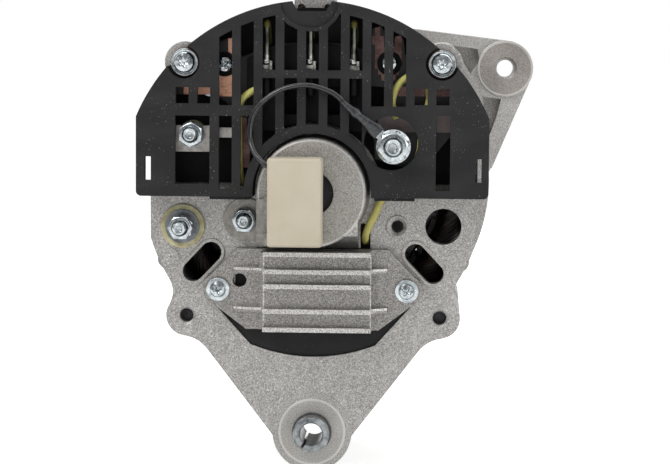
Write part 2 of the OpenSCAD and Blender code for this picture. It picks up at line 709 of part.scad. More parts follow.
module at_cover_screws() for (p = [bolt_xz[2], bolt_xz[3]]) translate(p) children();
module cover_walls() {
    difference() {
        cover_outline();
        cover_outline(cover_t);
        translate([notch[0].x, 50]) square([notch[5].x - notch[0].x, 30]);
    }
    intersection() {
        cover_outline();
        circle(cover_hub_r + cover_t);
    }
}
module cover_pockets() intersection() {
    cover_outline();
    at_cover_screws() circle(screw_notch_r + cover_t);
}
module rear_cover() color([0.12, 0.12, 0.13]) at_axis() difference() {
    union() {
        slab(cover_face_y, cover_face_y + cover_t) difference() {
            cover_outline();
            cover_slots();
            polygon(funnel);
            at_cover_screws() circle(screw_notch_r);
            circle(cover_hub_r);
        }
        slab(cover_face_y + funnel_drop, cover_face_y + funnel_drop + cover_t) intersection() {
            cover_outline();
            difference() {
                funnel_step();
                polygon(notch);
            }
        }
        slab(cover_face_y + cover_t, floor_y0) difference() {
            union() {
                cover_walls();
                cover_pockets();
            }
            at_cover_screws() circle(screw_notch_r);
            circle(cover_hub_r);
        }
        slab(floor_y0, floor_y1) difference() {
            union() {
                cover_walls();
                cover_pockets();
            }
            at_cover_screws() circle(bolt_r + free_gap);
            circle(cover_hub_r);
        }
        slab(floor_y1, face_y) difference() {
            cover_walls();
            at_cover_screws() circle(bolt_boss_r + free_gap);
            circle(cover_hub_r);
        }
        for (x = cover_lips)
            block(x[0], x[1], cover_face_y + cover_t, face_y, cover_bottom_z - 1.1, cover_bottom_z + 1);
    }
    block(23, 30, face_y - 7, face_y + 1, cover_bottom_z - 2, cover_bottom_z + 4);
}

// Pan-head screw pointing forwards, with its head's underside at y
module pan_screw(r, head_r, head_h, y, len) {
    rod(r, y, y + len);
    spin() polygon([[0, y - head_h], [head_r * 0.62, y - head_h], [head_r * 0.93, y - head_h * 0.62],
        [head_r, y - head_h * 0.2], [head_r, y], [0, y]]);
}
module drive_recess(y, head_h) for (a = [0, 90]) rotate([0, a, 0])
    block(-1.7, 1.7, y - head_h - 1, y - head_h + 1.4, -0.45, 0.45);
cover_washer_r = 5.2;
cover_washer_t = 0.9;
cover_screw_head_r = 4;
cover_screw_head_h = 3;
cover_washer_y = floor_y0 - cover_washer_t;
module cover_screws() color("lightgray") at_axis() for (p = [bolt_xz[2], bolt_xz[3]]) place(p)
    difference() {
    pan_screw(bolt_r, cover_screw_head_r, cover_screw_head_h, cover_washer_y, 9);
    drive_recess(cover_washer_y, cover_screw_head_h);
}
module cover_washers() color("rosybrown") at_axis() for (p = [bolt_xz[2], bolt_xz[3]]) place(p)
    difference() {
    rod(cover_washer_r, cover_washer_y, floor_y0);
    rod(bolt_r + touch, cover_washer_y - 1, floor_y0 + 1);
}

// Rectifier: two copper plates on a black carrier, with button diodes beneath and three phase tabs on top
plate_t = 1.5;
plate_y = face_y - 4;
diode_r = 4.4;
diode_xz_left = [[-8, 47.5], [-19, 44.5], [-37.4, 38.5]];
diode_xz_right = [[8, 47.8], [17.8, 44.2], [37.4, 38.5]];
left_plate = [
    [-2, 54], [-11, 53.5], [-20.5, 50.6], [-26, 48.5], [-28.5, 56], [-34, 54], [-46, 45], [-51, 38],
    [-51, 34.8],
    [-35.6, 34.8], [-31.5, 32], [-28.9, 29], [-28.8, 8.4], [-22.9, 8.4], [-22.9, 27], [-22, 32],
    [-20, 38], [-2, 41]
];
right_plate = [
    [2, 54], [11, 53.5], [20.8, 50.6], [21.2, 59], [24.2, 60], [25.6, 58], [25.4, 52.5], [28.6, 51.5],
    [29.2, 56],
    [31, 57], [32.6, 55], [33, 50], [46, 44], [51, 37], [51, 22], [42, 11], [36, 8], [22.5, 12],
    [21.8, 24], [26, 30], [25.6, 38], [19, 38.5], [2, 41]
];
carrier_t = 1.6;
carrier_post_r = 1.4;
carrier_y = face_y - 6.7;
carrier_x = [-23.8, 19];
carrier_r = [cover_hub_r + 4, 53.6];
tab_xz = [[-16.5, 44], [-0.8, 44], [14.8, 44]];
lead_wire_r = 0.9;
phase_lead_r = 1.1;

module rectifier_screw_hole() for (p = rectifier_screw_xz) place(p)
    rod(rectifier_screw_r + touch, face_y - 12, face_y);
module rectifier_carrier() color([0.1, 0.1, 0.11]) at_axis() {
    difference() {
        slab(carrier_y - carrier_t, carrier_y) intersection() {
            difference() {
                circle(carrier_r[1]);
                circle(carrier_r[0]);
            }
            translate([carrier_x[0], 22]) square([carrier_x[1] - carrier_x[0], 40]);
        }
        for (x = [-8, 7]) block(x - 2.5, x + 2.5, face_y - 20, face_y, 28, 38);
    }
    for (a = [65, 115]) place(polar(29, a)) rod(carrier_post_r, carrier_y, face_y);
    for (x = [-5, 5]) place([x, 49]) rod(carrier_post_r, carrier_y, plate_y - plate_t);
    for (p = rectifier_screw_xz) place(p) difference() {
        rod(4, plate_y, face_y - 2);
        rod(rectifier_screw_r + touch, plate_y - 1, face_y);
    }
    place(output_xz) difference() {
        rod(5.6, face_y - 0.9, face_y);
        rod(2, face_y - 1, face_y + 1);
    }
}
module heat_sink(outline) slab(plate_y - plate_t, plate_y) difference() {
    polygon(outline);
    at_cover_screws() circle(screw_notch_r + cover_t + free_gap);
}
module heat_sink_negative() color("sienna") at_axis() difference() {
    heat_sink(left_plate);
    rectifier_screw_hole();
}
module heat_sink_positive() color("sienna") at_axis() difference() {
    heat_sink(right_plate);
    rectifier_screw_hole();
    place(output_xz) rod(output_stud_r, plate_y - 3, plate_y + 1);
}
module power_diodes() color("silver") at_axis() for (p = concat(diode_xz_left, diode_xz_right)) place(p) {
    rod(diode_r, plate_y, plate_y + 2.6);
    rod(1.6, plate_y + 2.6, plate_y + 3.4);
}
exciter_diode_r = 1.5;
module exciter_diodes() color([0.15, 0.15, 0.16]) at_axis() for (x = [-16.5, -0.8, 14.8])
    translate([x, carrier_y - carrier_t - exciter_diode_r, 41]) {
        rotate([0, 180, 0]) cylinder(r = exciter_diode_r, h = 6);
        rotate([0, 180, 0]) cylinder(r = 0.4, h = 8.5);
    }
module diode_leads() color("gainsboro") at_axis() for (p = tab_xz) place(p) {
    y = carrier_y - carrier_t;
    block(-2.1, 2.1, y - 0.8, y, -0.5, 3.2);
    block(0.9, 2.1, y - 2.4, y, -0.5, 3.2);
    translate([-0.1, y - 1.4, 3]) sphere(r = 1.4, $fn = 32);
    translate([-0.1, y - 1.4, 3]) cylinder(r = lead_wire_r, h = lead_join_z - p.y - 3.1);
}
module rectifier_screws() color("lightgray") at_axis() for (p = rectifier_screw_xz) place(p) difference() {
    pan_screw(rectifier_screw_r, 3.4, 2.6, plate_y - plate_t, 12);
    drive_recess(plate_y - plate_t, 2.6);
}

// Sleeved leads. Points are x, y, z beside the shaft axis
lead_top_y = carrier_y - carrier_t - 1.4;
lead_top_z = rim_in_r - lead_room + 0.5;
lead_join_z = lead_top_z - 1.6;
function winding_lead(x, z) = [
    [x, stator_y0 - end_turn_l - free_gap, z], [x, 8, z], [x, 0, z], [x, face_y, z + 0.1],
    [x, face_y - 4, (z + lead_top_z) / 2], [x, face_y - 6.6, lead_top_z - 0.4],
    [x, lead_top_y + 0.5, lead_top_z],
    [x, lead_top_y, lead_join_z + 0.8], [x, lead_top_y, lead_join_z]
];
tap_lead_route = [
    [-19, lead_top_y, 38.5], [-22, lead_top_y, 37.3], [-25, lead_top_y + 0.5, 34],
    [-25.8, face_y - 8.8, 28],
    [-25.8, face_y - 7.6, 20], [-25.6, face_y - 7.3, 12], [-25.6, face_y - 6.7, 7.6],
    [-25.6, face_y - 4, 4],
    [-25.6, face_y + 1, 3], [-25.8, wall_y + 1.5, 2.8], [-28, wall_y + 4.5, 1], [-34, wall_y + 5.5, -4],
    [-42, wall_y + 5.5, -9.5], [-46.6, wall_y + 4.2, -12.6], [-47.8, wall_y + 1.5, -13.4]
];
ground_lead_route = [
    [41.5, face_y - 8, 37.4], [41.9, face_y - 8.4, 34], [40.6, face_y - 8.6, 28],
    [39.4, face_y - 8.8, 22],
    [38.6, face_y - 8.6, 15], [36, face_y - 7.6, 8], [31, face_y - 6, 2.8], [26.6, face_y - 4, -0.4],
    [24.4, face_y - 2.6, -3.8], [22.6, face_y - 2.4, -8.2], [20.4, face_y - 1.8, -12.7],
    [19.2, face_y - 0.4, -16.2],
    [19.1, face_y + 2.4, -18.4], [19.1, wall_y + 2, -19.3]
];
loop_lead_route = [
    [36, face_y - 8.2, 42.4], [33.2, face_y - 9, 41.2], [30.8, face_y - 9.3, 38], [30, face_y - 9.3, 34],
    [30.2, face_y - 8.8, 30.4], [31.4, face_y - 7.4, 27]
];
module phase_leads() color("khaki") at_axis() {
    for (p = tab_xz) tube(smooth_route(winding_lead(p.x - 0.1,
        sqrt(pow(rim_in_r - lead_room, 2) - p.x * p.x)), 2), phase_lead_r);
    tube(smooth_route(tap_lead_route, 2), phase_lead_r);
    tube(smooth_route(loop_lead_route, 2), phase_lead_r);
}
module ground_lead() color("khaki") at_axis() tube(smooth_route(ground_lead_route, 2), phase_lead_r);

// Output terminal
stack_y = [plate_y - plate_t, face_y - 11.5, face_y - 13.1, face_y - 13.9, face_y - 15.5, face_y - 20.5];
output_end_y = face_y - 24;
output_end_l = 2.5;
output_end_r = output_stud_r - 0.25;
ring_r = 5.2;
module output_stud() color("silver") at_axis() place(output_xz) {
    rod(output_stud_r, output_end_y + output_end_l, plate_y + 2.4);
    rod(output_end_r, output_end_y, output_end_y + output_end_l);
    rod(4.8, plate_y, face_y - 0.9);
}
module output_nut() color("silver") at_axis() place(output_xz) difference() {
    union() {
        hex(output_nut_af, stack_y[1], stack_y[0]);
        hex(output_nut_af, stack_y[5], stack_y[4]);
        rod(6.2, stack_y[4] - 1, stack_y[4]);
    }
    rod(output_stud_r, output_end_y - 1, face_y);
}
module output_washers() color("gray") at_axis() place(output_xz) difference() {
    union() {
        rod(6.4, stack_y[2], stack_y[1]);
        rod(5, stack_y[4], stack_y[3]);
    }
    rod(output_stud_r, output_end_y, face_y);
}

// Small terminals: exciter, phase tap and ground
exciter_post_h = 7.2;
exciter_tab_t = 1;
phase_flange_t = 1.6;
thin_washer_t = 1.2;
exciter_top = exciter_post_h + exciter_tab_t;
tap_nut_y = face_y - phase_flange_t - thin_washer_t;
ground_nut_y = face_y - 2 * thin_washer_t;
exciter_nut_y = face_y - exciter_top - thin_washer_t;
stud_end_l = 1.5;
stud_end_r = terminal_stud_r - 0.25;
module terminal_stud(p, y) place(p) {
    rod(terminal_stud_r, y + stud_end_l, wall_y);
    rod(stud_end_r, y, y + stud_end_l);
}
module terminal_studs() color("silver") at_axis() {
    terminal_stud(exciter_xz, exciter_nut_y - terminal_nut_h - 3);
    terminal_stud(phase_tap_xz, tap_nut_y - 2 * terminal_nut_h - 3.2);
    terminal_stud(ground_xz, ground_nut_y - terminal_nut_h - 3);
}
module terminal_nut(p, y) place(p) difference() {
    hex(terminal_nut_af, y - terminal_nut_h, y);
    rod(terminal_stud_r, y - 10, y + 1);
}
module terminal_nuts() color("silver") at_axis() {
    terminal_nut(exciter_xz, exciter_nut_y);
    terminal_nut(phase_tap_xz, tap_nut_y);
    terminal_nut(phase_tap_xz, tap_nut_y - terminal_nut_h - 0.1);
    terminal_nut(ground_xz, ground_nut_y);
}
module washer(p, r, y0, y1) place(p) difference() {
    rod(r, y0, y1);
    rod(terminal_stud_r, y0 - 1, y1 + 1);
}
module terminal_washers() color("gray") at_axis() {
    washer(phase_tap_xz, 6.2, tap_nut_y, tap_nut_y + thin_washer_t);
    washer(exciter_xz, 4.6, exciter_nut_y, exciter_nut_y + thin_washer_t);
    washer(ground_xz, 4.6, ground_nut_y, ground_nut_y + thin_washer_t);
}
module phase_tap_insulator() color("beige") at_axis() {
    washer(phase_tap_xz, insulator_r, face_y - phase_flange_t, face_y);
    washer(phase_tap_xz, insulator_sleeve_r, face_y, wall_y);
    washer(exciter_xz, 4.8, face_y - exciter_post_h, face_y);
    washer(exciter_xz, insulator_sleeve_r, face_y, wall_y);
}
module exciter_tab() color("silver") at_axis() difference() {
    union() {
        block(-50, -37.2, face_y - exciter_top, face_y - exciter_post_h, 15.2, 23.7);
        block(-50, -37.2, face_y - exciter_top, face_y - exciter_post_h + 2, 14.2, 15.2);
        block(-37.3, -27.4, face_y - exciter_top, face_y - exciter_post_h, 19.4, 23);
    }
    place(exciter_xz) rod(terminal_stud_r, face_y - 20, face_y);
}

// Noise-suppression capacitor on its bracket, with the lead to the output terminal
capacitor_x0 = -15;
capacitor_z1 = 11.9;
capacitor_gap = 1.7;
capacitor_y1 = hub_face_y - capacitor_gap;
capacitor_y0 = capacitor_y1 - capacitor_t;
capacitor_round = 1.1;
bracket_t = 1.2;
bracket_leg_x = -19.5;
capacitor_clip_x = capacitor_x0 - bracket_t;
module capacitor_body() color("wheat") at_axis() hull()
    for (x = [capacitor_x0 + capacitor_round, capacitor_x0 + capacitor_w - capacitor_round])
        for (z = [capacitor_z1 - capacitor_round, capacitor_z1 - capacitor_l + capacitor_round])
            for (y = [capacitor_y0 + capacitor_round, capacitor_y1 - capacitor_round])
                translate([x, y, z]) sphere(r = capacitor_round, $fn = 20);
module capacitor_bracket() color("silver") at_axis() difference() {
    union() {
        place(ground_xz) rod(insulator_r, face_y - bracket_t, face_y);
        block(ground_xz.x, bracket_leg_x + bracket_t, face_y - bracket_t, face_y, -17.6, -10.6);
        block(bracket_leg_x, bracket_leg_x + bracket_t, capacitor_y1, face_y, -17.6, -10.6);
        block(bracket_leg_x, -3, capacitor_y1, capacitor_y1 + bracket_t, -17.6, -2);
        for (z = [[-7, -1], [-18.2, -13.8]])
            block(capacitor_clip_x, capacitor_x0, capacitor_y1 - 7, capacitor_y1 + bracket_t, z[0], z[1]);
    }
    place(ground_xz) rod(terminal_stud_r, face_y - 10, face_y + 1);
    rod(hub_base_r + free_gap, hub_face_y, face_y + 1);
}
lead_y = face_y - 16.5;
lead_route = [
    [-15.3, lead_y - 4, 9.8], [-16.8, lead_y - 3.8, 10.8], [-20.4, lead_y - 2, 14.6],
    [-22.1, lead_y, 19.5],
    [-22, lead_y + 0.8, 24.7], [-20.4, lead_y + 1, 29.1], [-16.3, lead_y + 1, 33.7],
    [-10.9, lead_y + 1, 37],
    [-5.4, lead_y + 1, 38.4], [-0.5, lead_y + 1, 38.5], [4.5, lead_y + 1, 37.2], [8.1, lead_y + 1, 35.5],
    [10.7, lead_y + 1, 33.3]
];
sleeve_route = [
    [10.9, lead_y + 1, 33.1], [13.2, lead_y + 1, 31], [15.8, lead_y + 1, 28.9], [18.4, lead_y + 1, 26.6],
    [20.6, lead_y + 1, 24.8]
];
capacitor_lead_r = 0.75;
sleeve_r = 1.5;
module capacitor_lead() color([0.2, 0.2, 0.21]) at_axis()
    tube(smooth_route(lead_route, 4), capacitor_lead_r);
module lead_sleeve() color([0.15, 0.15, 0.16]) at_axis()
    tube(smooth_route(sleeve_route, 3), sleeve_r, 10);
module ring_terminal() color("silver") at_axis() difference() {
    union() {
        place(output_xz) rod(ring_r, stack_y[3], stack_y[2]);
        slab(stack_y[3], stack_y[2]) oblong(output_xz, [21.2, 24.2], 1.8);
    }
    place(output_xz) rod(output_stud_r, stack_y[5], face_y);
}

// Regulator: cast housing with fins on a plate with two screw ears
fin_z = [-22.4, -28.7, -34.1, -43.1, -49.8];
fin_block_x0 = -17.6;
fin_block_z1 = -21.4;
fin_floor = 9.4;
regulator_ear_r = 5.7;
plate_top_z = -21.2;
plate_low_z = -50.7;
long_fins = [1, 3];
module regulator_housing() color("silver") at_axis() difference() {
    union() {
        slab(face_y - regulator_plate_t, face_y) {
            polygon([
                [-27.7, plate_top_z], [27.7, plate_top_z], [38.6, -32.6], [38.4, -40],
                [24.2, plate_low_z],
                [-24.2, plate_low_z], [-38.4, -40], [-38.6, -32.6]
            ]);
            for (p = regulator_screw_xz) translate(p) circle(regulator_ear_r);
        }
        block(fin_block_x0, fin_block_x0 + fin_block_w, face_y - fin_floor, face_y - 1,
            fin_block_z1 - fin_block_h, fin_block_z1);
        block(fin_block_x0 - 1.5, fin_block_x0 + 1, face_y - fin_floor + 1.5, face_y - 1,
            fin_block_z1 - fin_block_h + 1.4, fin_block_z1 - 0.8);
        for (z = fin_z) block(fin_block_x0, fin_block_x0 + fin_block_w, face_y - fin_top,
            face_y - fin_floor + 1, z - fin_t / 2, z + fin_t / 2);
        for (i = long_fins) translate([0, 0, fin_z[i]]) slab_z(fin_t) polygon([
            [-29, face_y - regulator_plate_t + 0.5], [-28.6, face_y - regulator_plate_t - 1.8],
            [fin_block_x0, face_y - fin_floor],
            [fin_block_x0 + fin_block_w, face_y - fin_floor], [27.4, face_y - regulator_plate_t - 1.8],
            [27.8, face_y - regulator_plate_t + 0.5]
        ]);
    }
    for (p = regulator_screw_xz) place(p) rod(regulator_screw_r + touch, face_y - 10, face_y + 1);
    place([-26.6, -32.8]) rod(2.5, face_y - 10, face_y + 1);
}
module slab_z(t) translate([0, 0, -t / 2]) linear_extrude(t) children();
module regulator_screws() color("gainsboro") at_axis() for (p = regulator_screw_xz) place(p)
    difference() {
    union() {
        pan_screw(regulator_screw_r, 3, 2.4, face_y - regulator_plate_t - 0.8, 11);
        rod(4.3, face_y - regulator_plate_t - 0.8, face_y - regulator_plate_t);
    }
    drive_recess(face_y - regulator_plate_t - 0.8, 2.4);
}

// Brush holder, with one box for both brushes
flange_y = face_y + 0.8;
flange_t = 3;
box_y0 = face_y + 1.5;
box_y1 = slip_y[1] + brush_w / 2 + 1.6;
box_top_z = -15.8;
box_low_z = -44.5;
spring_seat_z = -43;
brush_end_z = -slip_ring_r - brush_l;
module brush_holder() color([0.13, 0.13, 0.14]) at_axis() difference() {
    union() {
        slab(flange_y, flange_y + flange_t) brush_opening(free_gap);
        block(-20, 20, face_y, flange_y + 0.1, -41.5, -22);
        block(-brush_box_x, brush_box_x, box_y0, box_y1, box_low_z, box_top_z);
    }
    for (y = slip_y) block(-brush_b / 2 - slip_fit, brush_b / 2 + slip_fit, y - brush_w / 2 - slip_fit,
        y + brush_w / 2 + slip_fit, spring_seat_z, -5);
}
module brush(y) color([0.25, 0.22, 0.2]) at_axis() difference() {
    block(-brush_b / 2, brush_b / 2, y - brush_w / 2, y + brush_w / 2, brush_end_z, -slip_ring_r + 1);
    rod(slip_ring_r + slip_fit, y - brush_w, y + brush_w);
}
module brush_inner() brush(slip_y[1]);
module brush_outer() brush(slip_y[0]);
spring_wire_r = 0.35;
spring_r = 2;
spring_turns = 6;
module brush_spring(y) color("gold") at_axis() tube(
    [for (i = [0:spring_turns * 12]) [
        spring_r * cos(i * 30), y + spring_r * sin(i * 30),
        spring_seat_z + spring_wire_r + touch
            + (brush_end_z - spring_seat_z - 2 * spring_wire_r - 2 * touch) * i / (spring_turns * 12)
    ]], spring_wire_r, 6);
module brush_spring_inner() brush_spring(slip_y[1]);
module brush_spring_outer() brush_spring(slip_y[0]);

// Hub plug and the front bearing's retainer
module hub_plug() color([0.1, 0.1, 0.1]) at_axis() rod(hub_hole_r, hub_face_y + 1.2, rear_bearing_y0);
module retainer_plate() color("gray") at_axis() difference() {
    union() {
        rod(front_bearing_r + 2, front_bearing_y0 - retainer_t, front_bearing_y0);
        for (a = retainer_screw_a) place(polar(retainer_screw_ring, a))
            rod(4.5, front_bearing_y0 - retainer_t, front_bearing_y0);
    }
    rod(19, front_bearing_y0 - 5, front_bearing_y0 + 1);
    for (a = retainer_screw_a) place(polar(retainer_screw_ring, a))
        rod(retainer_screw_r, front_bearing_y0 - 5, front_bearing_y0 + 1);
}
module retainer_screws() color("lightgray") at_axis() for (a = retainer_screw_a)
    place(polar(retainer_screw_ring, a))
    translate([0, front_nose_y, 0]) mirror([0, 1, 0]) difference() {
        pan_screw(retainer_screw_r, 3.6, 2.4, 0, front_nose_y - front_bearing_y0 + retainer_t);
        drive_recess(0, 2.4);
    }

// Rotor
shaft_rear_y = rear_bearing_y0 + 0.4;
shaft_end_y = pulley_y1 + 13;
thread_r = shaft_pulley_r - 0.5;
module shaft() color("lightgray") at_axis() spin() polygon([
    [0, shaft_rear_y], [shaft_rear_r - 0.6, shaft_rear_y], [shaft_rear_r, shaft_rear_y + 0.6],
    [shaft_rear_r, rear_bearing_y1],
    [shaft_rear_r + 1.5, rear_bearing_y1], [shaft_rear_r + 1.5, -5], [shaft_r, -5],
    [shaft_r, front_bearing_y1],
    [shaft_pulley_r, front_bearing_y1], [shaft_pulley_r, pulley_y1], [thread_r, pulley_y1],
    [thread_r, shaft_end_y - 1],
    [thread_r - 1, shaft_end_y], [0, shaft_end_y]
]);
claw_l = pole_y1 - pole_y0 - 4;
pole_half_l = (pole_y1 - pole_y0) / 2;
pole_core_r = 24;
valley_r = 35.5;
claw_in_r = [37.6, 41.3];
claw_w = [20, 9];
module claw(a) rotate([0, -a, 0]) intersection() {
    difference() {
        spin() polygon([
            [0, 0], [pole_r - 1, 0], [pole_r, 1], [pole_r, claw_l - 8], [pole_r - 1.2, claw_l],
            [0, claw_l]
        ]);
        cone(claw_in_r[0], claw_in_r[1], pole_disc_t, claw_l + 0.01);
    }
    prism_x(20, pole_r + 1) polygon([
        [-1, -claw_w[0] / 2], [pole_disc_t, -claw_w[0] / 2], [claw_l, -claw_w[1] / 2],
        [claw_l, claw_w[1] / 2], [pole_disc_t, claw_w[0] / 2], [-1, claw_w[0] / 2]
    ]);
}
module claw_pole() difference() {
    union() {
        rod(valley_r, 0, pole_disc_t);
        rod(pole_core_r, 0, pole_half_l);
        for (i = [0:claw_count - 1]) claw(i * 360 / claw_count);
    }
    rod(shaft_r, -1, pole_half_l + 1);
}
module claw_pole_rear() color("slategray") at_axis() translate([0, pole_y0, 0]) claw_pole();
module claw_pole_front() color("slategray") at_axis() translate([0, pole_y1, 0]) mirror([0, 1, 0])
    rotate([0, 180 / claw_count, 0]) claw_pole();
bobbin_t = 1.2;
bobbin_r = 36.6;
module field_bobbin() color("ivory") at_axis() spin() difference() {
    translate([pole_core_r, pole_y0 + pole_disc_t])
        square([bobbin_r - pole_core_r, pole_y1 - pole_y0 - 2 * pole_disc_t]);
    translate([pole_core_r + bobbin_t, pole_y0 + pole_disc_t + bobbin_t])
        square([bobbin_r, pole_y1 - pole_y0 - 2 * pole_disc_t - 2 * bobbin_t]);
}
module field_coil() color("chocolate") at_axis() spin()
    translate([pole_core_r + bobbin_t, pole_y0 + pole_disc_t + bobbin_t])
    square([bobbin_r - pole_core_r - bobbin_t - 0.8, pole_y1 - pole_y0 - 2 * pole_disc_t - 2 * bobbin_t]);
ring_core_r = 11;
barrier_r = slip_ring_r + 0.6;
module slip_ring_hub() color("maroon") at_axis() spin() {
    half = slip_ring_w / 2;
    translate([shaft_r, slip_y[0] - half - 1])
        square([ring_core_r - shaft_r, pole_y0 - slip_y[0] + half + 1]);
    for (y = [[slip_y[0] - half - 1, slip_y[0] - half], [slip_y[0] + half, slip_y[1] - half],
        [slip_y[1] + half, slip_y[1] + half + 1]])
        translate([shaft_r, y[0]]) square([barrier_r - shaft_r, y[1] - y[0]]);
}
module slip_rings() color("orange") at_axis() for (y = slip_y) difference() {
    rod(slip_ring_r, y - slip_ring_w / 2, y + slip_ring_w / 2);
    rod(ring_core_r, y - slip_ring_w, y + slip_ring_w);
}

// Fan, spacer, pulley and nut
fan_arm_a = 19;
fan_hub_r = 33;
fan_blade_r0 = 33;
fan_blade_a = 0.5;
fan_sink = 0.5;
module cooling_fan() color("darkgray") at_axis() difference() {
    union() {
        slab(fan_disc_y, fan_disc_y + fan_t) {
            circle(fan_hub_r);
            for (i = [0:fan_blades - 1])
                ring_sector(fan_hub_r - 2, fan_r, i * 360 / fan_blades, i * 360 / fan_blades + fan_arm_a);
        }
        for (i = [0:fan_blades - 1]) rotate([0, -i * 360 / fan_blades, 0])
            block(fan_blade_r0, fan_r - 0.6, fan_disc_y - fan_blade_h, fan_disc_y + fan_sink,
                fan_blade_a, fan_blade_a + fan_t);
    }
    rod(shaft_pulley_r, fan_disc_y - 1, fan_disc_y + fan_t + 1);
}
module fan_spacer() color("lightgray") at_axis() difference() {
    rod(12, front_bearing_y1, fan_disc_y);
    rod(shaft_pulley_r, front_bearing_y1 - 1, fan_disc_y + 1);
}
pulley_mid_y = (pulley_y0 + pulley_y1) / 2;
groove_floor_w = groove_w - 2 * groove_depth * tan(17);
pulley_recess = 5;
pulley_rim_t = 3.2;
pulley_boss_r = 14;
module pulley() color("gray") at_axis() spin() polygon([
    [shaft_pulley_r, pulley_y0], [pulley_r - 1, pulley_y0], [pulley_r, pulley_y0 + 1],
    [pulley_r, pulley_mid_y - groove_w / 2],
    [pulley_r - groove_depth, pulley_mid_y - groove_floor_w / 2],
    [pulley_r - groove_depth, pulley_mid_y + groove_floor_w / 2],
    [pulley_r, pulley_mid_y + groove_w / 2], [pulley_r, pulley_y1 - 1], [pulley_r - 1, pulley_y1],
    [pulley_r - groove_depth - 1, pulley_y1],
    [pulley_r - groove_depth - pulley_rim_t, pulley_y1 - pulley_recess],
    [pulley_boss_r + 1, pulley_y1 - pulley_recess], [pulley_boss_r, pulley_y1],
    [shaft_pulley_r, pulley_y1]
]);
pulley_washer_t = 2;
pulley_nut_af = 22;
pulley_nut_h = 8;
module pulley_washer() color("lightgray") at_axis() difference() {
    rod(12.5, pulley_y1, pulley_y1 + pulley_washer_t);
    rod(thread_r, pulley_y1 - 1, pulley_y1 + 5);
}
module pulley_nut() color("lightgray") at_axis() difference() {
    intersection() {
        hex(pulley_nut_af, pulley_y1 + pulley_washer_t, pulley_y1 + pulley_washer_t + pulley_nut_h);
        cone(pulley_nut_af * 0.62, pulley_nut_af * 0.53, pulley_y1,
            pulley_y1 + pulley_washer_t + pulley_nut_h + 0.1);
    }
    rod(thread_r, pulley_y1, shaft_end_y);
}

// Ball bearings: grooved rings, a caged set of balls and seals on the outer ring
front_pitch_r = (shaft_r + front_bearing_r) / 2;
rear_pitch_r = (shaft_rear_r + rear_bearing_r) / 2;
race_share = 0.55;
front_balls = 7;
rear_balls = 8;
module race(r0, r1, y0, y1, pitch, ball) spin() difference() {
    translate([r0, y0]) square([r1 - r0, y1 - y0]);
    translate([pitch, (y0 + y1) / 2]) circle(ball + touch);
}
module ball_set(pitch, ball, count, y) {
    for (i = [0:count - 1]) rotate([0, -i * 360 / count, 0]) translate([pitch, y, 0]) sphere(ball);
    difference() {
        spin() translate([pitch, y]) square([ball * 0.66, ball * 1.5], center = true);
        for (i = [0:count - 1]) rotate([0, -i * 360 / count, 0]) translate([pitch, y, 0])
            sphere(ball + 0.12);
    }
}
module front_bearing_outer() color("lightsteelblue") at_axis()
    race(front_pitch_r + front_ball_r * race_share, front_bearing_r, front_bearing_y0, front_bearing_y1,
        front_pitch_r, front_ball_r);
module front_bearing_inner() color("lightsteelblue") at_axis()
    race(shaft_r, front_pitch_r - front_ball_r * race_share, front_bearing_y0, front_bearing_y1,
        front_pitch_r, front_ball_r);
module front_bearing_balls() color("silver") at_axis()
    ball_set(front_pitch_r, front_ball_r, front_balls, (front_bearing_y0 + front_bearing_y1) / 2);
module rear_bearing_outer() color("lightsteelblue") at_axis()
    race(rear_pitch_r + rear_ball_r * race_share, rear_bearing_r, rear_bearing_y0, rear_bearing_y1,
        rear_pitch_r, rear_ball_r);
module rear_bearing_inner() color("lightsteelblue") at_axis()
    race(shaft_rear_r, rear_pitch_r - rear_ball_r * race_share, rear_bearing_y0, rear_bearing_y1,
        rear_pitch_r, rear_ball_r);
module rear_bearing_balls() color("silver") at_axis()
    ball_set(rear_pitch_r, rear_ball_r, rear_balls, (rear_bearing_y0 + rear_bearing_y1) / 2);
seal_t = 0.6;
module seal(pitch, ball, y) difference() {
    rod(pitch + ball * race_share, y, y + seal_t);
    rod(pitch - ball * race_share + 0.2, y - 1, y + 2);
}
module bearing_seals() color([0.2, 0.2, 0.2]) at_axis() {
    for (y = [front_bearing_y0 + 0.2, front_bearing_y1 - seal_t - 0.2])
        seal(front_pitch_r, front_ball_r, y);
    for (y = [rear_bearing_y0 + 0.2, rear_bearing_y1 - seal_t - 0.2]) seal(rear_pitch_r, rear_ball_r, y);
}

rear_bracket();
front_bracket();
stator_core();
stator_winding();
through_bolts();
pivot_bush();
rear_cover();
cover_screws();
cover_washers();
rectifier_carrier();
heat_sink_positive();
heat_sink_negative();
power_diodes();
diode_leads();
exciter_diodes();
rectifier_screws();
phase_leads();
ground_lead();
output_stud();
output_nut();
output_washers();
terminal_studs();
terminal_nuts();
exciter_tab();
phase_tap_insulator();
terminal_washers();
capacitor_body();
capacitor_bracket();
capacitor_lead();
lead_sleeve();
ring_terminal();
regulator_housing();
regulator_screws();
brush_holder();
brush_inner();
brush_outer();
brush_spring_inner();
brush_spring_outer();
hub_plug();
retainer_plate();
retainer_screws();
shaft();
claw_pole_rear();
claw_pole_front();
field_bobbin();
field_coil();
slip_ring_hub();
slip_rings();
cooling_fan();
fan_spacer();
pulley();
pulley_washer();
pulley_nut();
front_bearing_outer();
front_bearing_inner();
front_bearing_balls();
rear_bearing_outer();
rear_bearing_inner();
rear_bearing_balls();
bearing_seals();
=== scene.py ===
# Engine alternator seen from its terminal side: the looks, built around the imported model
import json
import math

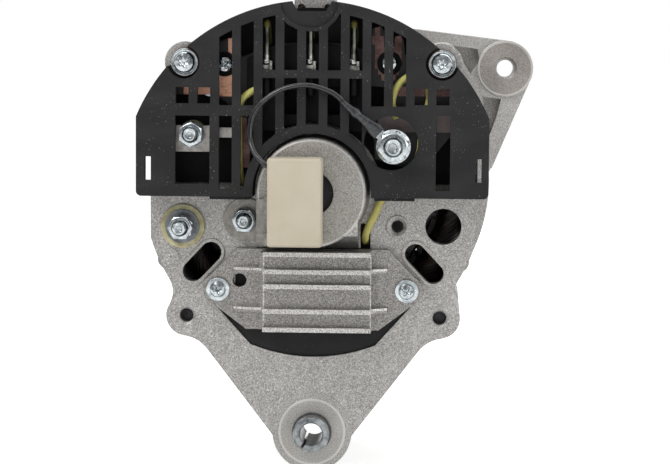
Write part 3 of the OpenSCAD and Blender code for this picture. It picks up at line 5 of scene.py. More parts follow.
import bmesh
import bpy
import numpy as np
from mathutils import Matrix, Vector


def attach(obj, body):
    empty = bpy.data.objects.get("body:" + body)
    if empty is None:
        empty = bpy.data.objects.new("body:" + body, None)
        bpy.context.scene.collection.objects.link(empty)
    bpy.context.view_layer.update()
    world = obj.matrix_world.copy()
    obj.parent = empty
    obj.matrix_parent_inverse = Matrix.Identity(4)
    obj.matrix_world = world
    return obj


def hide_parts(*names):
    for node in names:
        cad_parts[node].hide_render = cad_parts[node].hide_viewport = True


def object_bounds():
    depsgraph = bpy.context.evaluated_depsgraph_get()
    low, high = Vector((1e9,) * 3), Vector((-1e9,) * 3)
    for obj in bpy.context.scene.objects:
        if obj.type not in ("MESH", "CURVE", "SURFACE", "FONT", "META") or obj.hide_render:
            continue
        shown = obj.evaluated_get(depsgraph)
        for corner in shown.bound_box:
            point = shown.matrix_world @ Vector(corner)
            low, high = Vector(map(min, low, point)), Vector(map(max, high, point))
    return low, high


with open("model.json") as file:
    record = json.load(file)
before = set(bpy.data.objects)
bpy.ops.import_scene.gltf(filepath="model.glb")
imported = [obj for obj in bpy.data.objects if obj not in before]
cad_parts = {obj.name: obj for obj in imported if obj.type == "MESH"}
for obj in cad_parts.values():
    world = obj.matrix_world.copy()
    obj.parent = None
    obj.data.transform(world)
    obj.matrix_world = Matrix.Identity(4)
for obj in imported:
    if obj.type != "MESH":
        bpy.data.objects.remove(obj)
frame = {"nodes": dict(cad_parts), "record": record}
nodes = frame["nodes"]
cadBox = [list(corner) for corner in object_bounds()]
mm = 0.001
shaftHeight = 89.0  # shaft axis above the pivot axis, in mm
rearFace = -5.8  # outer face of the rear casting along the shaft, in mm
print("model loaded with", len(nodes), "nodes")

# Camera, floor and light

# angles in degrees; distance, target and lens in mm; clip in m
cameraPlace = {
    "azimuth": 2.48,
    "elevation": 4.96,
    "roll": 0.42,
    "distance": 843.8,
    "target": (7.97, -5.8, 73.86),
    "lens": 124.04,
    "clip": 0.01,
}


def makeCamera(place):
    azimuth, elevation, roll = (math.radians(place[k]) for k in ("azimuth", "elevation", "roll"))
    level = math.cos(elevation)
    ahead = np.array([-math.sin(azimuth) * level, math.cos(azimuth) * level, -math.sin(elevation)])
    right = np.array([math.cos(azimuth), math.sin(azimuth), 0.0])
    up = np.cross(right, ahead)
    turned = np.eye(4)
    turned[:3, 0] = math.cos(roll) * right + math.sin(roll) * up
    turned[:3, 1] = math.cos(roll) * up - math.sin(roll) * right
    turned[:3, 2] = -ahead
    turned[:3, 3] = (np.array(place["target"]) - ahead * place["distance"]) * mm
    data = bpy.data.cameras.new("camera")
    data.lens = place["lens"]
    data.clip_start = place["clip"]
    made = bpy.data.objects.new("camera", data)
    made.matrix_world = Matrix(turned.tolist())
    bpy.context.scene.collection.objects.link(made)
    bpy.context.scene.camera = made


makeCamera(cameraPlace)


class Sock:
    # one output of a shader node; arithmetic on it adds Math nodes
    def __init__(self, finish, out):
        self.finish = finish
        self.out = out

    def calc(self, operation, a, b=0.0):
        return self.finish.node("ShaderNodeMath", {"operation": operation}, {0: a, 1: b})

    def __add__(self, other):
        return self.calc("ADD", self, other)

    def __sub__(self, other):
        return self.calc("SUBTRACT", self, other)

    def __mul__(self, other):
        return self.calc("MULTIPLY", self, other)

    def __radd__(self, other):
        return self.calc("ADD", other, self)

    def __rsub__(self, other):
        return self.calc("SUBTRACT", other, self)

    def __rmul__(self, other):
        return self.calc("MULTIPLY", other, self)

    def power(self, other):
        return self.calc("POWER", self, other)

    def top(self, other):
        return self.calc("MAXIMUM", self, other)

    def low(self, other):
        return self.calc("MINIMUM", self, other)

    def sine(self):
        return self.calc("SINE", self)

    def size(self):
        return self.calc("ABSOLUTE", self)


def tone(red, green, blue):
    # a colour read from a screen, from 0 to 255, as the linear colour that the shaders take
    part = np.array([red, green, blue]) / 255.0
    linear = np.where(part <= 0.04045, part / 12.92, ((part + 0.055) / 1.055) ** 2.4)
    return (*linear.tolist(), 1.0)


class Finish:
    # a material with its shader, and the few node patterns that the finishes share
    def __init__(self, name, fixed, tree=None):
        if tree is None:
            self.material = bpy.data.materials.new(name)
            self.material.use_nodes = True
            tree = self.material.node_tree
        self.tree = tree
        self.shader = tree.nodes.get("Principled BSDF")
        for socket, value in fixed.items():
            self.shader.inputs[socket].default_value = value

    def node(self, kind, settings=None, inputs=None, out=0):
        made = self.tree.nodes.new(kind)
        for key, value in (settings or {}).items():
            if key == "stops":
                ramp = made.color_ramp.elements
                while len(ramp) < len(value):
                    ramp.new(0.5)
                for stop, (place, colour) in zip(ramp, value):
                    stop.position = place
                    stop.color = colour
            else:
                setattr(made, key, value)
        for key, value in (inputs or {}).items():
            if isinstance(value, Sock):
                self.tree.links.new(value.out, made.inputs[key])
            else:
                made.inputs[key].default_value = value
        return Sock(self, made.outputs[out])

    def place(self):
        return self.node("ShaderNodeTexCoord", out="Object")

    def noise(self, size, detail=2.0, stretch=None):
        # cloudy pattern with spots of about size mm; stretch lengthens them along x, y and z
        at = self.place()
        if stretch:
            scale = [1.0 / s for s in stretch]
            at = self.node("ShaderNodeVectorMath", {"operation": "MULTIPLY"}, {0: at, 1: scale})
        return self.node("ShaderNodeTexNoise", {}, {"Vector": at, "Scale": 1.0 / mm / size, "Detail": detail})

    def axes(self):
        # x, y and z in mm, z from the shaft's axis
        at = self.place()
        x, y, z = (self.node("ShaderNodeSeparateXYZ", {}, {0: at}, k) * (1.0 / mm) for k in ("X", "Y", "Z"))
        return x, y, z - shaftHeight

    def ramp(self, value, stops):
        return self.node("ShaderNodeValToRGB", {"stops": stops}, {0: value})

    def soft(self, value, low, high):
        # 0 below low, 1 above high, smooth between
        return self.node(
            "ShaderNodeMapRange",
            {"interpolation_type": "SMOOTHSTEP"},
            {"Value": value, "From Min": low, "From Max": high, "To Min": 0.0, "To Max": 1.0},
        )

    def mix(self, share, a, b):
        return self.node("ShaderNodeMix", {"data_type": "RGBA"}, {0: share, 6: a, 7: b}, 2)

    def band(self, value, low, high, edge):
        # 1 between low and high, smooth over edge to both sides of each
        return self.soft(value, low - edge, low + edge) * (1.0 - self.soft(value, high - edge, high + edge))

    def near(self, centre, radius):
        # share inside a circle seen along the shaft, and the distance from its centre, in mm
        edge = 0.15
        x, y, z = self.axes()
        dx = x - centre[0]
        dz = z - centre[1]
        away = (dx * dx + dz * dz).power(0.5)
        return 1.0 - self.soft(away, radius - edge, radius + edge), away

    def feed(self, socket, value):
        self.tree.links.new(value.out, self.shader.inputs[socket])

    def relief(self, height, depth, edge=0.0, strength=1.0):
        # bump of depth mm, on edges rounded by edge mm
        inputs = {"Strength": strength, "Distance": depth * mm, "Height": height}
        if edge:
            inputs["Normal"] = self.node("ShaderNodeBevel", {"samples": 4}, {"Radius": edge * mm})
        self.feed("Normal", self.node("ShaderNodeBump", {}, inputs))


studio = {
    "floorColour": (0.86, 0.86, 0.86, 1.0),
    "floorGlow": 0.66,
    "floorReach": 6.0,
    "floorDrop": 0.0002,  # how far it is below the lowest point, in m
    "ambient": 0.4,
    "glossySide": 0.22,  # level that metal reflects from the camera's side
    "glossyFar": 0.55,  # what the far side and the top add to it
    "glossyTop": 0.75,
    "farFade": (-0.85, 0.1),  # parts of a direction, along y and z, over which those two set in
    "topFade": (0.2, 0.75),
    "aim": (0.0, 0.03, 0.08),
}
lamps = {
    "key": {"spot": (-0.55, -0.75, 0.95), "size": (0.7, 0.5), "watts": 7.2, "colour": (1.0, 0.99, 0.97)},
    "fill": {"spot": (0.8, -0.6, 0.35), "size": (0.6, 0.6), "watts": 2.6, "colour": (0.97, 0.98, 1.0)},
    "back": {"spot": (0.1, 0.9, 0.7), "size": (0.9, 0.5), "watts": 3.2, "colour": (1.0, 1.0, 1.0)},
}
black = (0.0, 0.0, 0.0, 1.0)
white = (1.0, 1.0, 1.0, 1.0)


def seenRays(finish):
    # 1 for rays that look, straight or off gloss or through glass, and 0 for rays that light
    kinds = ("Is Camera Ray", "Is Glossy Ray", "Is Transmission Ray")
    camera, glossy, through = (finish.node("ShaderNodeLightPath", out=kind) for kind in kinds)
    return (camera + glossy + through).low(1.0)


def makeSky(values):
    world = bpy.data.worlds.new("studio")
    world.use_nodes = True
    bpy.context.scene.world = world
    sky = Finish("sky", {}, world.node_tree)
    background = world.node_tree.nodes["Background"]
    at = sky.node("ShaderNodeTexCoord", out="Generated")
    ahead = sky.node("ShaderNodeSeparateXYZ", {}, {0: at}, "Y")
    above = sky.node("ShaderNodeSeparateXYZ", {}, {0: at}, "Z")
    camera = sky.node("ShaderNodeLightPath", out="Is Camera Ray")
    farSide = values["glossyFar"] * sky.soft(ahead, *values["farFade"])
    topSide = values["glossyTop"] * sky.soft(above, *values["topFade"])
    mirrored = values["glossySide"] + farSide + topSide
    looking = seenRays(sky)
    level = values["ambient"] * (1.0 - looking) + camera + (looking - camera) * mirrored
    background.inputs["Color"].default_value = white
    world.node_tree.links.new(level.out, background.inputs["Strength"])


def makeFloor(values):
    reach = values["floorReach"]
    low = cadBox[0][2] - values["floorDrop"]
    corners = [(-reach, -reach, low), (reach, -reach, low), (reach, reach, low), (-reach, reach, low)]
    mesh = bpy.data.meshes.new("floor")
    mesh.from_pydata(corners, [], [(0, 1, 2, 3)])
    floor = bpy.data.objects.new("floor", mesh)
    bpy.context.scene.collection.objects.link(floor)
    fixed = {
        "Base Color": values["floorColour"],
        "Roughness": 0.9,
        "Specular IOR Level": 0.1,
        "Emission Strength": values["floorGlow"],
    }
    finish = Finish("floor", fixed)
    finish.feed("Emission Color", finish.mix(seenRays(finish), black, white))
    mesh.materials.append(finish.material)


def makeLamp(name, lamp, aim):
    data = bpy.data.lights.new(name, "AREA")
    data.shape = "RECTANGLE"
    data.size, data.size_y = lamp["size"]
    data.energy = lamp["watts"]
    data.color = lamp["colour"]
    made = bpy.data.objects.new(name, data)
    made.location = lamp["spot"]
    away = np.array(lamp["spot"]) - np.array(aim)
    tilt = math.acos(away[2] / np.linalg.norm(away))
    made.rotation_euler = (tilt, 0.0, math.atan2(away[1], away[0]) + math.pi / 2)
    bpy.context.scene.collection.objects.link(made)


makeSky(studio)
makeFloor(studio)
for lampName, lampValues in lamps.items():
    makeLamp(lampName, lampValues, studio["aim"])
bpy.context.scene.view_settings.view_transform = "Standard"
print("camera and light placed")

# Finishes


def castFinish(name, level, machined=()):
    # grey casting with a blasted grain around a tone of level; machined lists turned circles, each with
    # x, z, radius, the depths it lies between and its tone
    made = Finish(name, {"Metallic": 0.8, "Specular IOR Level": 0.45})
    fine = made.noise(0.3, 3.0)
    broad = made.noise(7.0)
    patch = made.noise(0.55)
    grain = fine * 0.6 + patch * 0.32 + broad * 0.08
    low, middle, high = (tone(level + k, level + k - 2, level + k - 5) for k in (-46, 0, 38))
    colour = made.ramp(grain, [(0.36, low), (0.5, middle), (0.64, high)])
    speck = made.soft(made.noise(0.5, 1.0), 0.62, 0.7)
    colour = made.mix(speck * 0.55, colour, tone(236, 235, 232))
    height = fine * 0.7 + patch * 0.3
    toolMarks = 22.0  # radians of turned groove in a mm
    y = made.axes()[1]
    for centreX, centreZ, radius, rear, front, shade in machined:
        inside, away = made.near((centreX, centreZ), radius)
        inside = inside * made.soft(y, rear - 0.1, rear) * (1.0 - made.soft(y, front, front + 0.1))
        turned = (away * toolMarks).sine() * 0.5 + 0.5
        darker = tone(*(c - 60 for c in shade))
        lighter = tone(*(c + 24 for c in shade))
        cut = made.ramp(turned * 0.12 + grain * 0.88, [(0.34, darker), (0.66, lighter)])
        # painted highlight: a pale ring at the edge of each turned circle
        rim = made.soft(away, radius - 1.0, radius - 0.7) * 0.5
        colour = made.mix(inside, colour, made.mix(rim, cut, tone(224, 222, 218)))
        height = height * (1.0 - inside * 0.4) + turned * inside * 0.2
    made.feed("Base Color", colour)
    made.feed("Roughness", 0.34 + fine * 0.2)
    made.relief(height, 0.14, 0.5, 1.0)
    return made.material


regulatorFace = {"middle": 2.0, "outerFins": (-28.2, -42.6)}  # x of the middle and z of two fins


def finnedFinish(face):
    # die-cast regulator housing with a blasted grain, and pale patches painted as highlights on the fins'
    # crests, the block's ends and two outer fins
    made = Finish("finnedFinish", {"Metallic": 0.85})
    drawn = made.noise(0.4, 3.0, (3.0, 1.0, 1.0))
    grit = made.noise(0.32)
    x, y, z = made.axes()
    rise = y * -1.0
    side = (x - face["middle"]).size()
    crest = made.soft(rise, 17.9, 18.6)
    ends = made.soft(side, 19.1, 19.3) * (1.0 - made.soft(side, 19.7, 19.9)) * made.soft(rise, 11.0, 12.0)
    ridges = 0.0
    for fin in face["outerFins"]:
        ridges = (1.0 - made.soft((z - fin).size(), 0.35, 0.6)).top(ridges)
    ridges = ridges * made.soft(side, 20.0, 20.4) * made.soft(rise, 10.1, 10.5)
    # painted highlight: pale patches on the crests, the block's ends and the outer fins' ridges
    paleShare = crest.top(ends).top(ridges) * made.soft(grit, 0.3, 0.6) * 0.75
    stops = [(0.34, tone(98, 95, 92)), (0.5, tone(142, 139, 136)), (0.66, tone(184, 182, 178))]
    plain = made.ramp(drawn * 0.25 + grit * 0.75, stops)
    made.feed("Base Color", made.mix(paleShare, plain, tone(232, 230, 226)))
    made.feed("Roughness", 0.32 + drawn * 0.16)
    made.relief(drawn * 0.4 + grit * 0.6, 0.1, 0.35, 0.9)
    return made.material


def plasticFinish(name, colour, dust, rough=0.5, sheen=0.35):
    # moulded plastic with a fine texture, pale dust and faint flow marks
    made = Finish(name, {"Specular IOR Level": sheen})
    grain = made.noise(0.35, 2.0)
    flow = made.noise(9.0, 2.0, (2.2, 1.0, 1.0))
    lighter = tuple(min(1.0, c * 1.4 + 0.002) for c in colour[:3]) + (1.0,)
    base = made.mix(made.soft(flow, 0.3, 0.75), colour, lighter)
    settled = made.soft(made.noise(0.5, 1.0), 0.7, 0.76) * made.soft(made.noise(7.0, 1.0), 0.42, 0.7)
    made.feed("Base Color", made.mix(settled * dust, base, tone(150, 150, 150)))
    made.feed("Roughness", rough + grain * 0.16)
    made.relief(grain, 0.05, 0.3, 0.6)
    return made.material


def steelFinish(name, light, dark, rough, grain=0.6, edge=0.2):
    # plated or ground steel, slightly clouded
    made = Finish(name, {"Metallic": 1.0})
    cloud = made.noise(2.4, 3.0)
    fine = made.noise(grain, 2.0)
    made.feed("Base Color", made.ramp(cloud * 0.7 + fine * 0.3, [(0.32, dark), (0.62, light)]))
    made.feed("Roughness", rough + fine * 0.14)
    made.relief(fine, 0.015, edge, 0.45)
    return made.material


# x and z ranges where the plates show bare copper; elsewhere they are painted near-black as shade inside the
# cover
copperShown = [
    (-30.9, -28.2, 42.0, 55.2), (-47.0, -28.2, 34.2, 42.6), (-26.4, -22.8, 6.0, 26.6),
    (-29.9, -26.0, 6.4, 18.6), (22.0, 24.0, 53.0, 59.8), (21.1, 25.4, 53.3, 56.4),
    (22.2, 31.8, 44.6, 53.4), (23.3, 30.8, 42.5, 44.8), (24.5, 29.7, 40.4, 42.7),
    (29.3, 31.8, 53.0, 56.4), (26.0, 50.0, 34.8, 38.2), (23.4, 49.8, 21.8, 28.0),
]


def copperFinish():
    # copper sheet, tarnished in clouds from salmon to mauve brown, and greyer at the lower right
    made = Finish("copperFinish", {})
    cloud = made.noise(6.0, 3.0)
    fine = made.noise(0.8)
    x, y, z = made.axes()
    fresh = made.soft(x * -1.0, 26.5, 28.5) * made.soft(cloud, 0.3, 0.5)
    stops = [(0.36, tone(82, 60, 58)), (0.5, tone(120, 92, 88)), (0.64, tone(146, 118, 112))]
    dull = made.ramp(cloud * 0.7 + fine * 0.3, stops)
    bright = made.ramp(cloud * 0.6 + fine * 0.4, [(0.4, tone(206, 146, 118)), (0.6, tone(240, 190, 162))])
    greyed = made.soft(x, 20.0, 22.0) * (1.0 - made.soft(z, 28.5, 30.0))
    dull = made.mix(greyed * 0.8, dull, tone(112, 106, 105))
    shown = 0.0
    for x0, x1, z0, z1 in copperShown:
        inside = made.band(x, x0, x1, 0.1) * made.band(z, z0, z1, 0.1)
        shown = inside.top(shown)
    # painted shade: outside the listed ranges the plates take a near-black tone
    made.feed("Base Color", made.mix(shown, tone(14, 14, 15), made.mix(fresh, dull, bright)))
    made.feed("Metallic", shown * 0.6)
    made.feed("Roughness", 0.4 + cloud * 0.2)
    made.relief(fine, 0.03, 0.2, 0.5)
    return made.material


def wireFinish():
    # enamelled winding wire under varnish, its dark tones partly the varnish and partly painted shade inside
    # the housing
    made = Finish("wireFinish", {"Metallic": 0.3, "Coat Roughness": 0.25})
    cloud = made.noise(3.0)
    stops = [(0.35, tone(22, 15, 13)), (0.6, tone(44, 28, 21)), (0.75, tone(62, 40, 28))]
    made.feed("Base Color", made.ramp(cloud, stops))
    made.feed("Roughness", 0.34 + cloud * 0.2)
    made.feed("Coat Weight", 0.05 + cloud * 0.2)
    made.relief(cloud, 0.05, 0.0, 0.6)
    return made.material


def laminatedFinish():
    # sheets punched from steel and stacked along the shaft
    made = Finish("coreSheets", {"Metallic": 0.6})
    sheet = 0.65  # thickness in mm
    y = made.axes()[1]
    sheets = (y * (2.0 * math.pi / sheet)).sine() * 0.5 + 0.5
    cloud = made.noise(4.0, 3.0)
    stops = [(0.25, tone(52, 50, 50)), (0.5, tone(88, 86, 85)), (0.75, tone(124, 121, 118))]
    made.feed("Base Color", made.ramp(sheets * 0.35 + cloud * 0.65, stops))
    made.feed("Roughness", 0.42 + cloud * 0.25)
    made.relief(sheets * 0.8 + cloud * 0.2, 0.12, 0.2, 0.7)
    return made.material


def sleeveFinish(name, light, dark):
    # woven sleeving: two families of slanted threads on the piece's own map, in mm along and around
    made = Finish(name, {"Specular IOR Level": 0.3})
    flow = made.node("ShaderNodeUVMap", {"uv_map": "flow"})
    along, around = (made.node("ShaderNodeSeparateXYZ", {}, {0: flow}, k) for k in ("X", "Y"))
    twill = 0.55  # from thread to thread in mm
    turns = 2.0 * math.pi / twill
    one = ((along + around) * turns).sine()
    two = ((along - around) * turns).sine()
    weave = one.top(two) * 0.5 + 0.5
    cloud = made.noise(2.0, 2.0)
    made.feed("Base Color", made.mix((weave * 0.6 + cloud * 0.5).low(1.0), dark, light))
    made.feed("Roughness", 0.55 + cloud * 0.25)
    made.relief(weave, 0.08, 0.0, 0.8)
    return made.material


def cableFinish(name, colour, rough, highlightRadius=0.0):
    # smooth sheath; the last argument is the piece's radius in mm if a painted highlight, a pale line, runs
    # down both of its sides
    made = Finish(name, {"Specular IOR Level": 0.6})
    cloud = made.noise(1.6, 3.0)
    lighter = tuple(c * 2.2 + 0.01 for c in colour[:3]) + (1.0,)
    base = made.mix(made.soft(cloud, 0.35, 0.75), colour, lighter)
    if highlightRadius:
        flow = made.node("ShaderNodeUVMap", {"uv_map": "flow"})
        around = made.node("ShaderNodeSeparateXYZ", {}, {0: flow}, "Y") * (1.0 / highlightRadius)
        beside = 1.0 - around.sine().size()
        # painted highlight: pale lines down both sides of the cable
        base = made.mix(made.soft(beside, 0.5, 0.85) * 0.8, base, tone(168, 168, 170))
    made.feed("Base Color", base)
    made.feed("Roughness", rough + cloud * 0.2)
    made.relief(cloud, 0.06, 0.0, 0.5)
    return made.material


def insulatorFinish():
    # pale, slightly see-through moulding
    fixed = {"Specular IOR Level": 0.5, "Subsurface Weight": 0.35, "Subsurface Scale": 0.002}
    made = Finish("insulatorFinish", fixed)
    cloud = made.noise(3.0)
    stops = [(0.3, tone(172, 166, 122)), (0.6, tone(212, 207, 166)), (0.8, tone(228, 224, 192))]
    made.feed("Base Color", made.ramp(cloud, stops))
    made.feed("Roughness", 0.3 + cloud * 0.2)
    made.relief(made.noise(0.6, 1.0), 0.03, 0.35, 0.5)
    return made.material


def caseFinish():
    # beige moulded case with faint specks
    made = Finish("caseFinish", {"Specular IOR Level": 0.35})
    cloud = made.noise(14.0, 2.0)
    fine = made.noise(0.5, 2.0)
    base = made.ramp(cloud, [(0.3, tone(200, 190, 169)), (0.7, tone(210, 201, 182))])
    made.feed("Base Color", made.mix(made.soft(fine, 0.62, 0.78) * 0.3, base, tone(176, 164, 142)))
    made.feed("Roughness", 0.48 + fine * 0.14)
    made.relief(fine, 0.04, 0.0, 0.5)
    return made.material


def paintedFinish():
    # black paint, worn to the metal on the flanks of the belt groove
    made = Finish("paintedFinish", {"Specular IOR Level": 0.5})
    grooveMiddle = 107.5  # along the shaft
    root, rim = 25.0, 34.0  # radii of the groove
    x, y, z = made.axes()
    across = (x * x + z * z).power(0.5)
    flank = 1.0 - made.soft((y - grooveMiddle).size() * 1.05 + across, rim, rim + 0.8)
    paleShare = flank * made.soft(across, root - 1.0, root + 1.0) * (1.0 - made.soft(across, rim, rim + 0.6))
    peel = made.noise(0.8, 2.0)
    brushed = made.noise(0.4, 2.0, (1.0, 0.2, 1.0))
    paint = made.mix(made.soft(made.noise(5.0, 3.0), 0.35, 0.7), tone(34, 34, 36), tone(52, 52, 54))
    made.feed("Base Color", made.mix(paleShare * 0.75, paint, tone(150, 148, 146)))
    made.feed("Metallic", paleShare * 0.8)
    made.feed("Roughness", 0.36 + peel * 0.16 + brushed * 0.06)
    made.relief(peel, 0.04, 0.35, 0.6)
    return made.material


zincBright = steelFinish("zincBright", tone(204, 210, 212), tone(128, 136, 142), 0.14, 0.5, 0.15)
finishes = {
    "cast_aluminium": castFinish("castAluminium", 170),
    "finned_aluminium": finnedFinish(regulatorFace),
    "laminated_steel": laminatedFinish(),
    "copper_wire": wireFinish(),
    "zinc_steel": zincBright,
    "ground_steel": steelFinish("groundSteel", tone(196, 196, 198), tone(150, 150, 152), 0.2),
    "spring_steel": steelFinish("springSteel", tone(160, 160, 162), tone(110, 110, 112), 0.25),
    "fan_steel": steelFinish("fanSteel", tone(186, 188, 190), tone(136, 138, 142), 0.3, 0.8, 0.3),
    "pulley_paint": paintedFinish(),
    "tinned_wire": steelFinish("tinned", tone(214, 214, 214), tone(150, 150, 150), 0.2, 0.9, 0.15),
    "copper_plate": copperFinish(),
    "black_plastic": plasticFinish("blackPlastic", tone(38, 38, 39), 0.8, 0.52, 0.18),
    "beige_plastic": caseFinish(),
    "pale_insulator": insulatorFinish(),
    "diode_body": plasticFinish("diodeBody", tone(13, 13, 14), 0.1, 0.5, 0.12),
    "yellow_sleeve": sleeveFinish("yellowSleeve", tone(230, 224, 138), tone(184, 176, 90)),
    "black_cable": cableFinish("blackCable", tone(20, 20, 22), 0.08, 0.92),
    "carbon": plasticFinish("carbon", tone(58, 54, 50), 0.2, 0.55),
}
rearMachined = [
    (0.0, 0.0, 19.6, -23.0, -22.0, (164, 161, 156)),
    (0.0, -shaftHeight, 12.4, -7.2, -6.2, (182, 179, 175)),
]
frontMachined = [
    (71.3, 43.9, 10.9, 62.0, 63.4, (162, 157, 152)),
    (0.0, -shaftHeight, 11.5, 89.6, 91.0, (198, 195, 190)),
    (0.0, 0.0, 28.0, 85.4, 87.0, (196, 193, 188)),
]
forgedIron = steelFinish("forgedIron", tone(112, 110, 110), tone(72, 70, 70), 0.4, 0.7, 0.5)
# nodes whose finish isn't the one of their slot
ownFinish = {
    "rear_bracket": castFinish("rearCast", 162, rearMachined),
    "front_bracket": castFinish("frontCast", 180, frontMachined),
    "claw_pole_rear": forgedIron,
    "claw_pole_front": forgedIron,
    "exciter_tab": steelFinish("dullSteel", tone(176, 173, 169), tone(132, 129, 125), 0.36, 0.7, 0.2),
    "capacitor_bracket": steelFinish("bracketSteel", tone(152, 149, 144), tone(112, 109, 105), 0.36, 0.7),
    "terminal_washers": steelFinish("washerSteel", tone(128, 131, 134), tone(86, 89, 92), 0.3, 0.7),
    "cover_washers": steelFinish("copperWasher", tone(112, 76, 62), tone(70, 48, 42), 0.4),
    "through_bolts": steelFinish("blackSteel", tone(58, 58, 60), tone(34, 34, 36), 0.34),
    "pivot_bush": steelFinish("sleeveSteel", tone(156, 160, 162), tone(84, 88, 90), 0.24, 1.6, 0.25),
    "retainer_plate": zincBright,
    "rectifier_carrier": finishes["diode_body"],
}
for part in frame["record"]["subparts"]:
    chosen = ownFinish.get(part["node"], finishes[part["material_slot"]])
    for held in nodes[part["node"]].material_slots:
        held.material = chosen
print("finishes made")

# Shapes


def cleanMesh(mesh):
    # joins corners that lie on one spot, drops faces without an area and turns the others outwards
    work = bmesh.new()
    work.from_mesh(mesh)
    bmesh.ops.remove_doubles(work, verts=work.verts, dist=1e-7)
    bmesh.ops.dissolve_degenerate(work, edges=work.edges, dist=1e-8)
    bmesh.ops.recalc_face_normals(work, faces=work.faces)
    work.to_mesh(mesh)
    work.free()


def gridPiece(name, patches, finish, body, replaced=()):
    # mesh from patches of (points, wrapped, capped): rows run along the piece and columns run round it;
    # its map, flow, has mm along and around
    sharp = 35.0  # degrees between faces from which an edge isn't smoothed
    vertices, faces, flow, start = [], [], [], 0
    for points, wrapped, capped in patches:
        rows, columns = points.shape[:2]
        count = columns if wrapped else columns - 1
        row, column = np.meshgrid(np.arange(rows - 1), np.arange(count), indexing="ij")
        corner = [(row, column), (row, column + 1), (row + 1, column + 1), (row + 1, column)]
        quads = np.stack([r * columns + c % columns for r, c in corner], -1).reshape(-1, 4) + start
        steps = np.linalg.norm(np.diff(points.mean(1), axis=0), axis=1)
        along = np.concatenate([[0.0], np.cumsum(steps)]) / mm
        ring = np.linalg.norm(np.diff(points, axis=1, append=points[:, :1]), axis=2).mean() / mm
        flow.append(np.stack([np.stack([along[r], c * ring], -1) for r, c in corner], 2).reshape(-1, 2))
        faces += quads.tolist()
        if capped:
            last = start + (rows - 1) * columns
            faces.append(list(range(start, start + columns))[::-1])
            faces.append(list(range(last, last + columns)))
            flow.append(np.zeros((2 * columns, 2)))
        vertices.append(points.reshape(-1, 3))
        start += rows * columns
    mesh = bpy.data.meshes.new(name)
    mesh.from_pydata(np.concatenate(vertices).tolist(), [], faces)
    layer = mesh.uv_layers.new(name="flow")
    layer.data.foreach_set("uv", np.concatenate(flow).astype(np.float32).ravel())
    cleanMesh(mesh)
    mesh.polygons.foreach_set("use_smooth", np.ones(len(mesh.polygons), bool))
    mesh.set_sharp_from_angle(angle=math.radians(sharp))
    mesh.materials.append(finish)
    made = bpy.data.objects.new(name, mesh)
    bpy.context.scene.collection.objects.link(made)
    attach(made, body)
    if replaced:
        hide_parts(*replaced)
    return made


def lathe(centre, rows, columns=64, phase=0.0):
    # rows of (radius, y) turned round a line along the shaft; a radius is a number or one value a column
    angle = np.radians(phase) + np.arange(columns) * 2.0 * math.pi / columns
    points = np.empty((len(rows), columns, 3))
    for i, (radius, y) in enumerate(rows):
        points[i, :, 0] = centre[0] + radius * np.cos(angle)
        points[i, :, 1] = y
        points[i, :, 2] = shaftHeight + centre[1] + radius * np.sin(angle)
    return points * mm, True, False


def smoothRoute(points, steps):
    # curve through the points: each stretch is a cubic set by its two ends and their neighbours
    p = np.array(points, float)
    before, start, end, after = np.vstack([p[:1], p[:-2]]), p[:-1], p[1:], np.vstack([p[2:], p[-1:]])
    t = (np.arange(steps) / steps)[None, :, None]
    a, b, c, d = (k[:, None, :] for k in (before, start, end, after))
    curve = 0.5 * (2 * b + (c - a) * t + (2 * a - 5 * b + 4 * c - d) * t**2 + (3 * b - a - 3 * c + d) * t**3)
    return np.vstack([curve.reshape(-1, 3), p[-1:]])


def routeFrame(route, side):
    # two directions across the route at each of its points, the first of them square to side
    ahead = np.gradient(route, axis=0)
    ahead /= np.linalg.norm(ahead, axis=1)[:, None]
    across = np.cross(ahead, side)
    across /= np.linalg.norm(across, axis=1)[:, None]
    return across, np.cross(across, ahead)


def sweep(route, side, wide, thick=None, columns=14, square=2.0):
    # section carried along a route in mm beside the shaft; wide and thick are half sizes, one for all or
    # one for each point, and square sets how boxy the section is (2 is round)
    route = np.array(route, float)
    across, up = routeFrame(route, np.array(side, float))
    angle = np.arange(columns) * 2.0 * math.pi / columns
    roundX = np.sign(np.cos(angle)) * np.abs(np.cos(angle)) ** (2.0 / square)
    roundY = np.sign(np.sin(angle)) * np.abs(np.sin(angle)) ** (2.0 / square)
    wide = np.broadcast_to(wide, len(route))[:, None, None]
    thick = wide if thick is None else np.broadcast_to(thick, len(route))[:, None, None]
    points = route[:, None, :] + wide * roundX[None, :, None] * across[:, None, :]
    points += thick * roundY[None, :, None] * up[:, None, :]
    points[:, :, 2] += shaftHeight
    return points * mm, True, True


def hexRadius(flats, columns):
    # distance from the middle to a hexagon's side, one value a column
    angle = np.arange(columns) * 360.0 / columns % 60.0
    return flats / 2.0 / np.cos(np.radians(angle - 30.0))


def nut(spot, form, flats, bore):
    # hexagon cut by a cone at both ends, with a countersunk bore; flange is the radius of a collar in front
    columns = 96
    slant = 0.55  # how deep the cone goes for each mm across
    rear, front, flange = form["rear"], form["front"], form.get("flange")
    six = hexRadius(flats, columns)
    start = flats * 0.47
    corner = flats / 2.0 / math.cos(math.radians(30.0)) - start
    steps = np.linspace(0.0, 1.0, 6)
    rows = [(bore, front), (bore, rear + 0.6), (bore + 0.55, rear)]
    rows += [(np.minimum(six, start + corner * s), rear + corner * s * slant) for s in steps]
    if flange:
        rows += [(six, front - 1.5), (flange * 0.93, front - 1.0), (flange, front - 0.7), (flange, front)]
    else:
        rows += [(np.minimum(six, start + corner * s), front - corner * s * slant) for s in steps[::-1]]
    rows.append((bore, front))
    return lathe(spot, rows, columns, form["turn"])


def threadDepth(y, pitch, columns):
    # how deep the surface lies, from 0 at the thread's crest to 1 at its root, one row for each y
    angle = np.arange(columns) / columns
    return np.abs(((y[:, None] / pitch - angle[None, :]) % 1.0) - 0.5) * 2.0


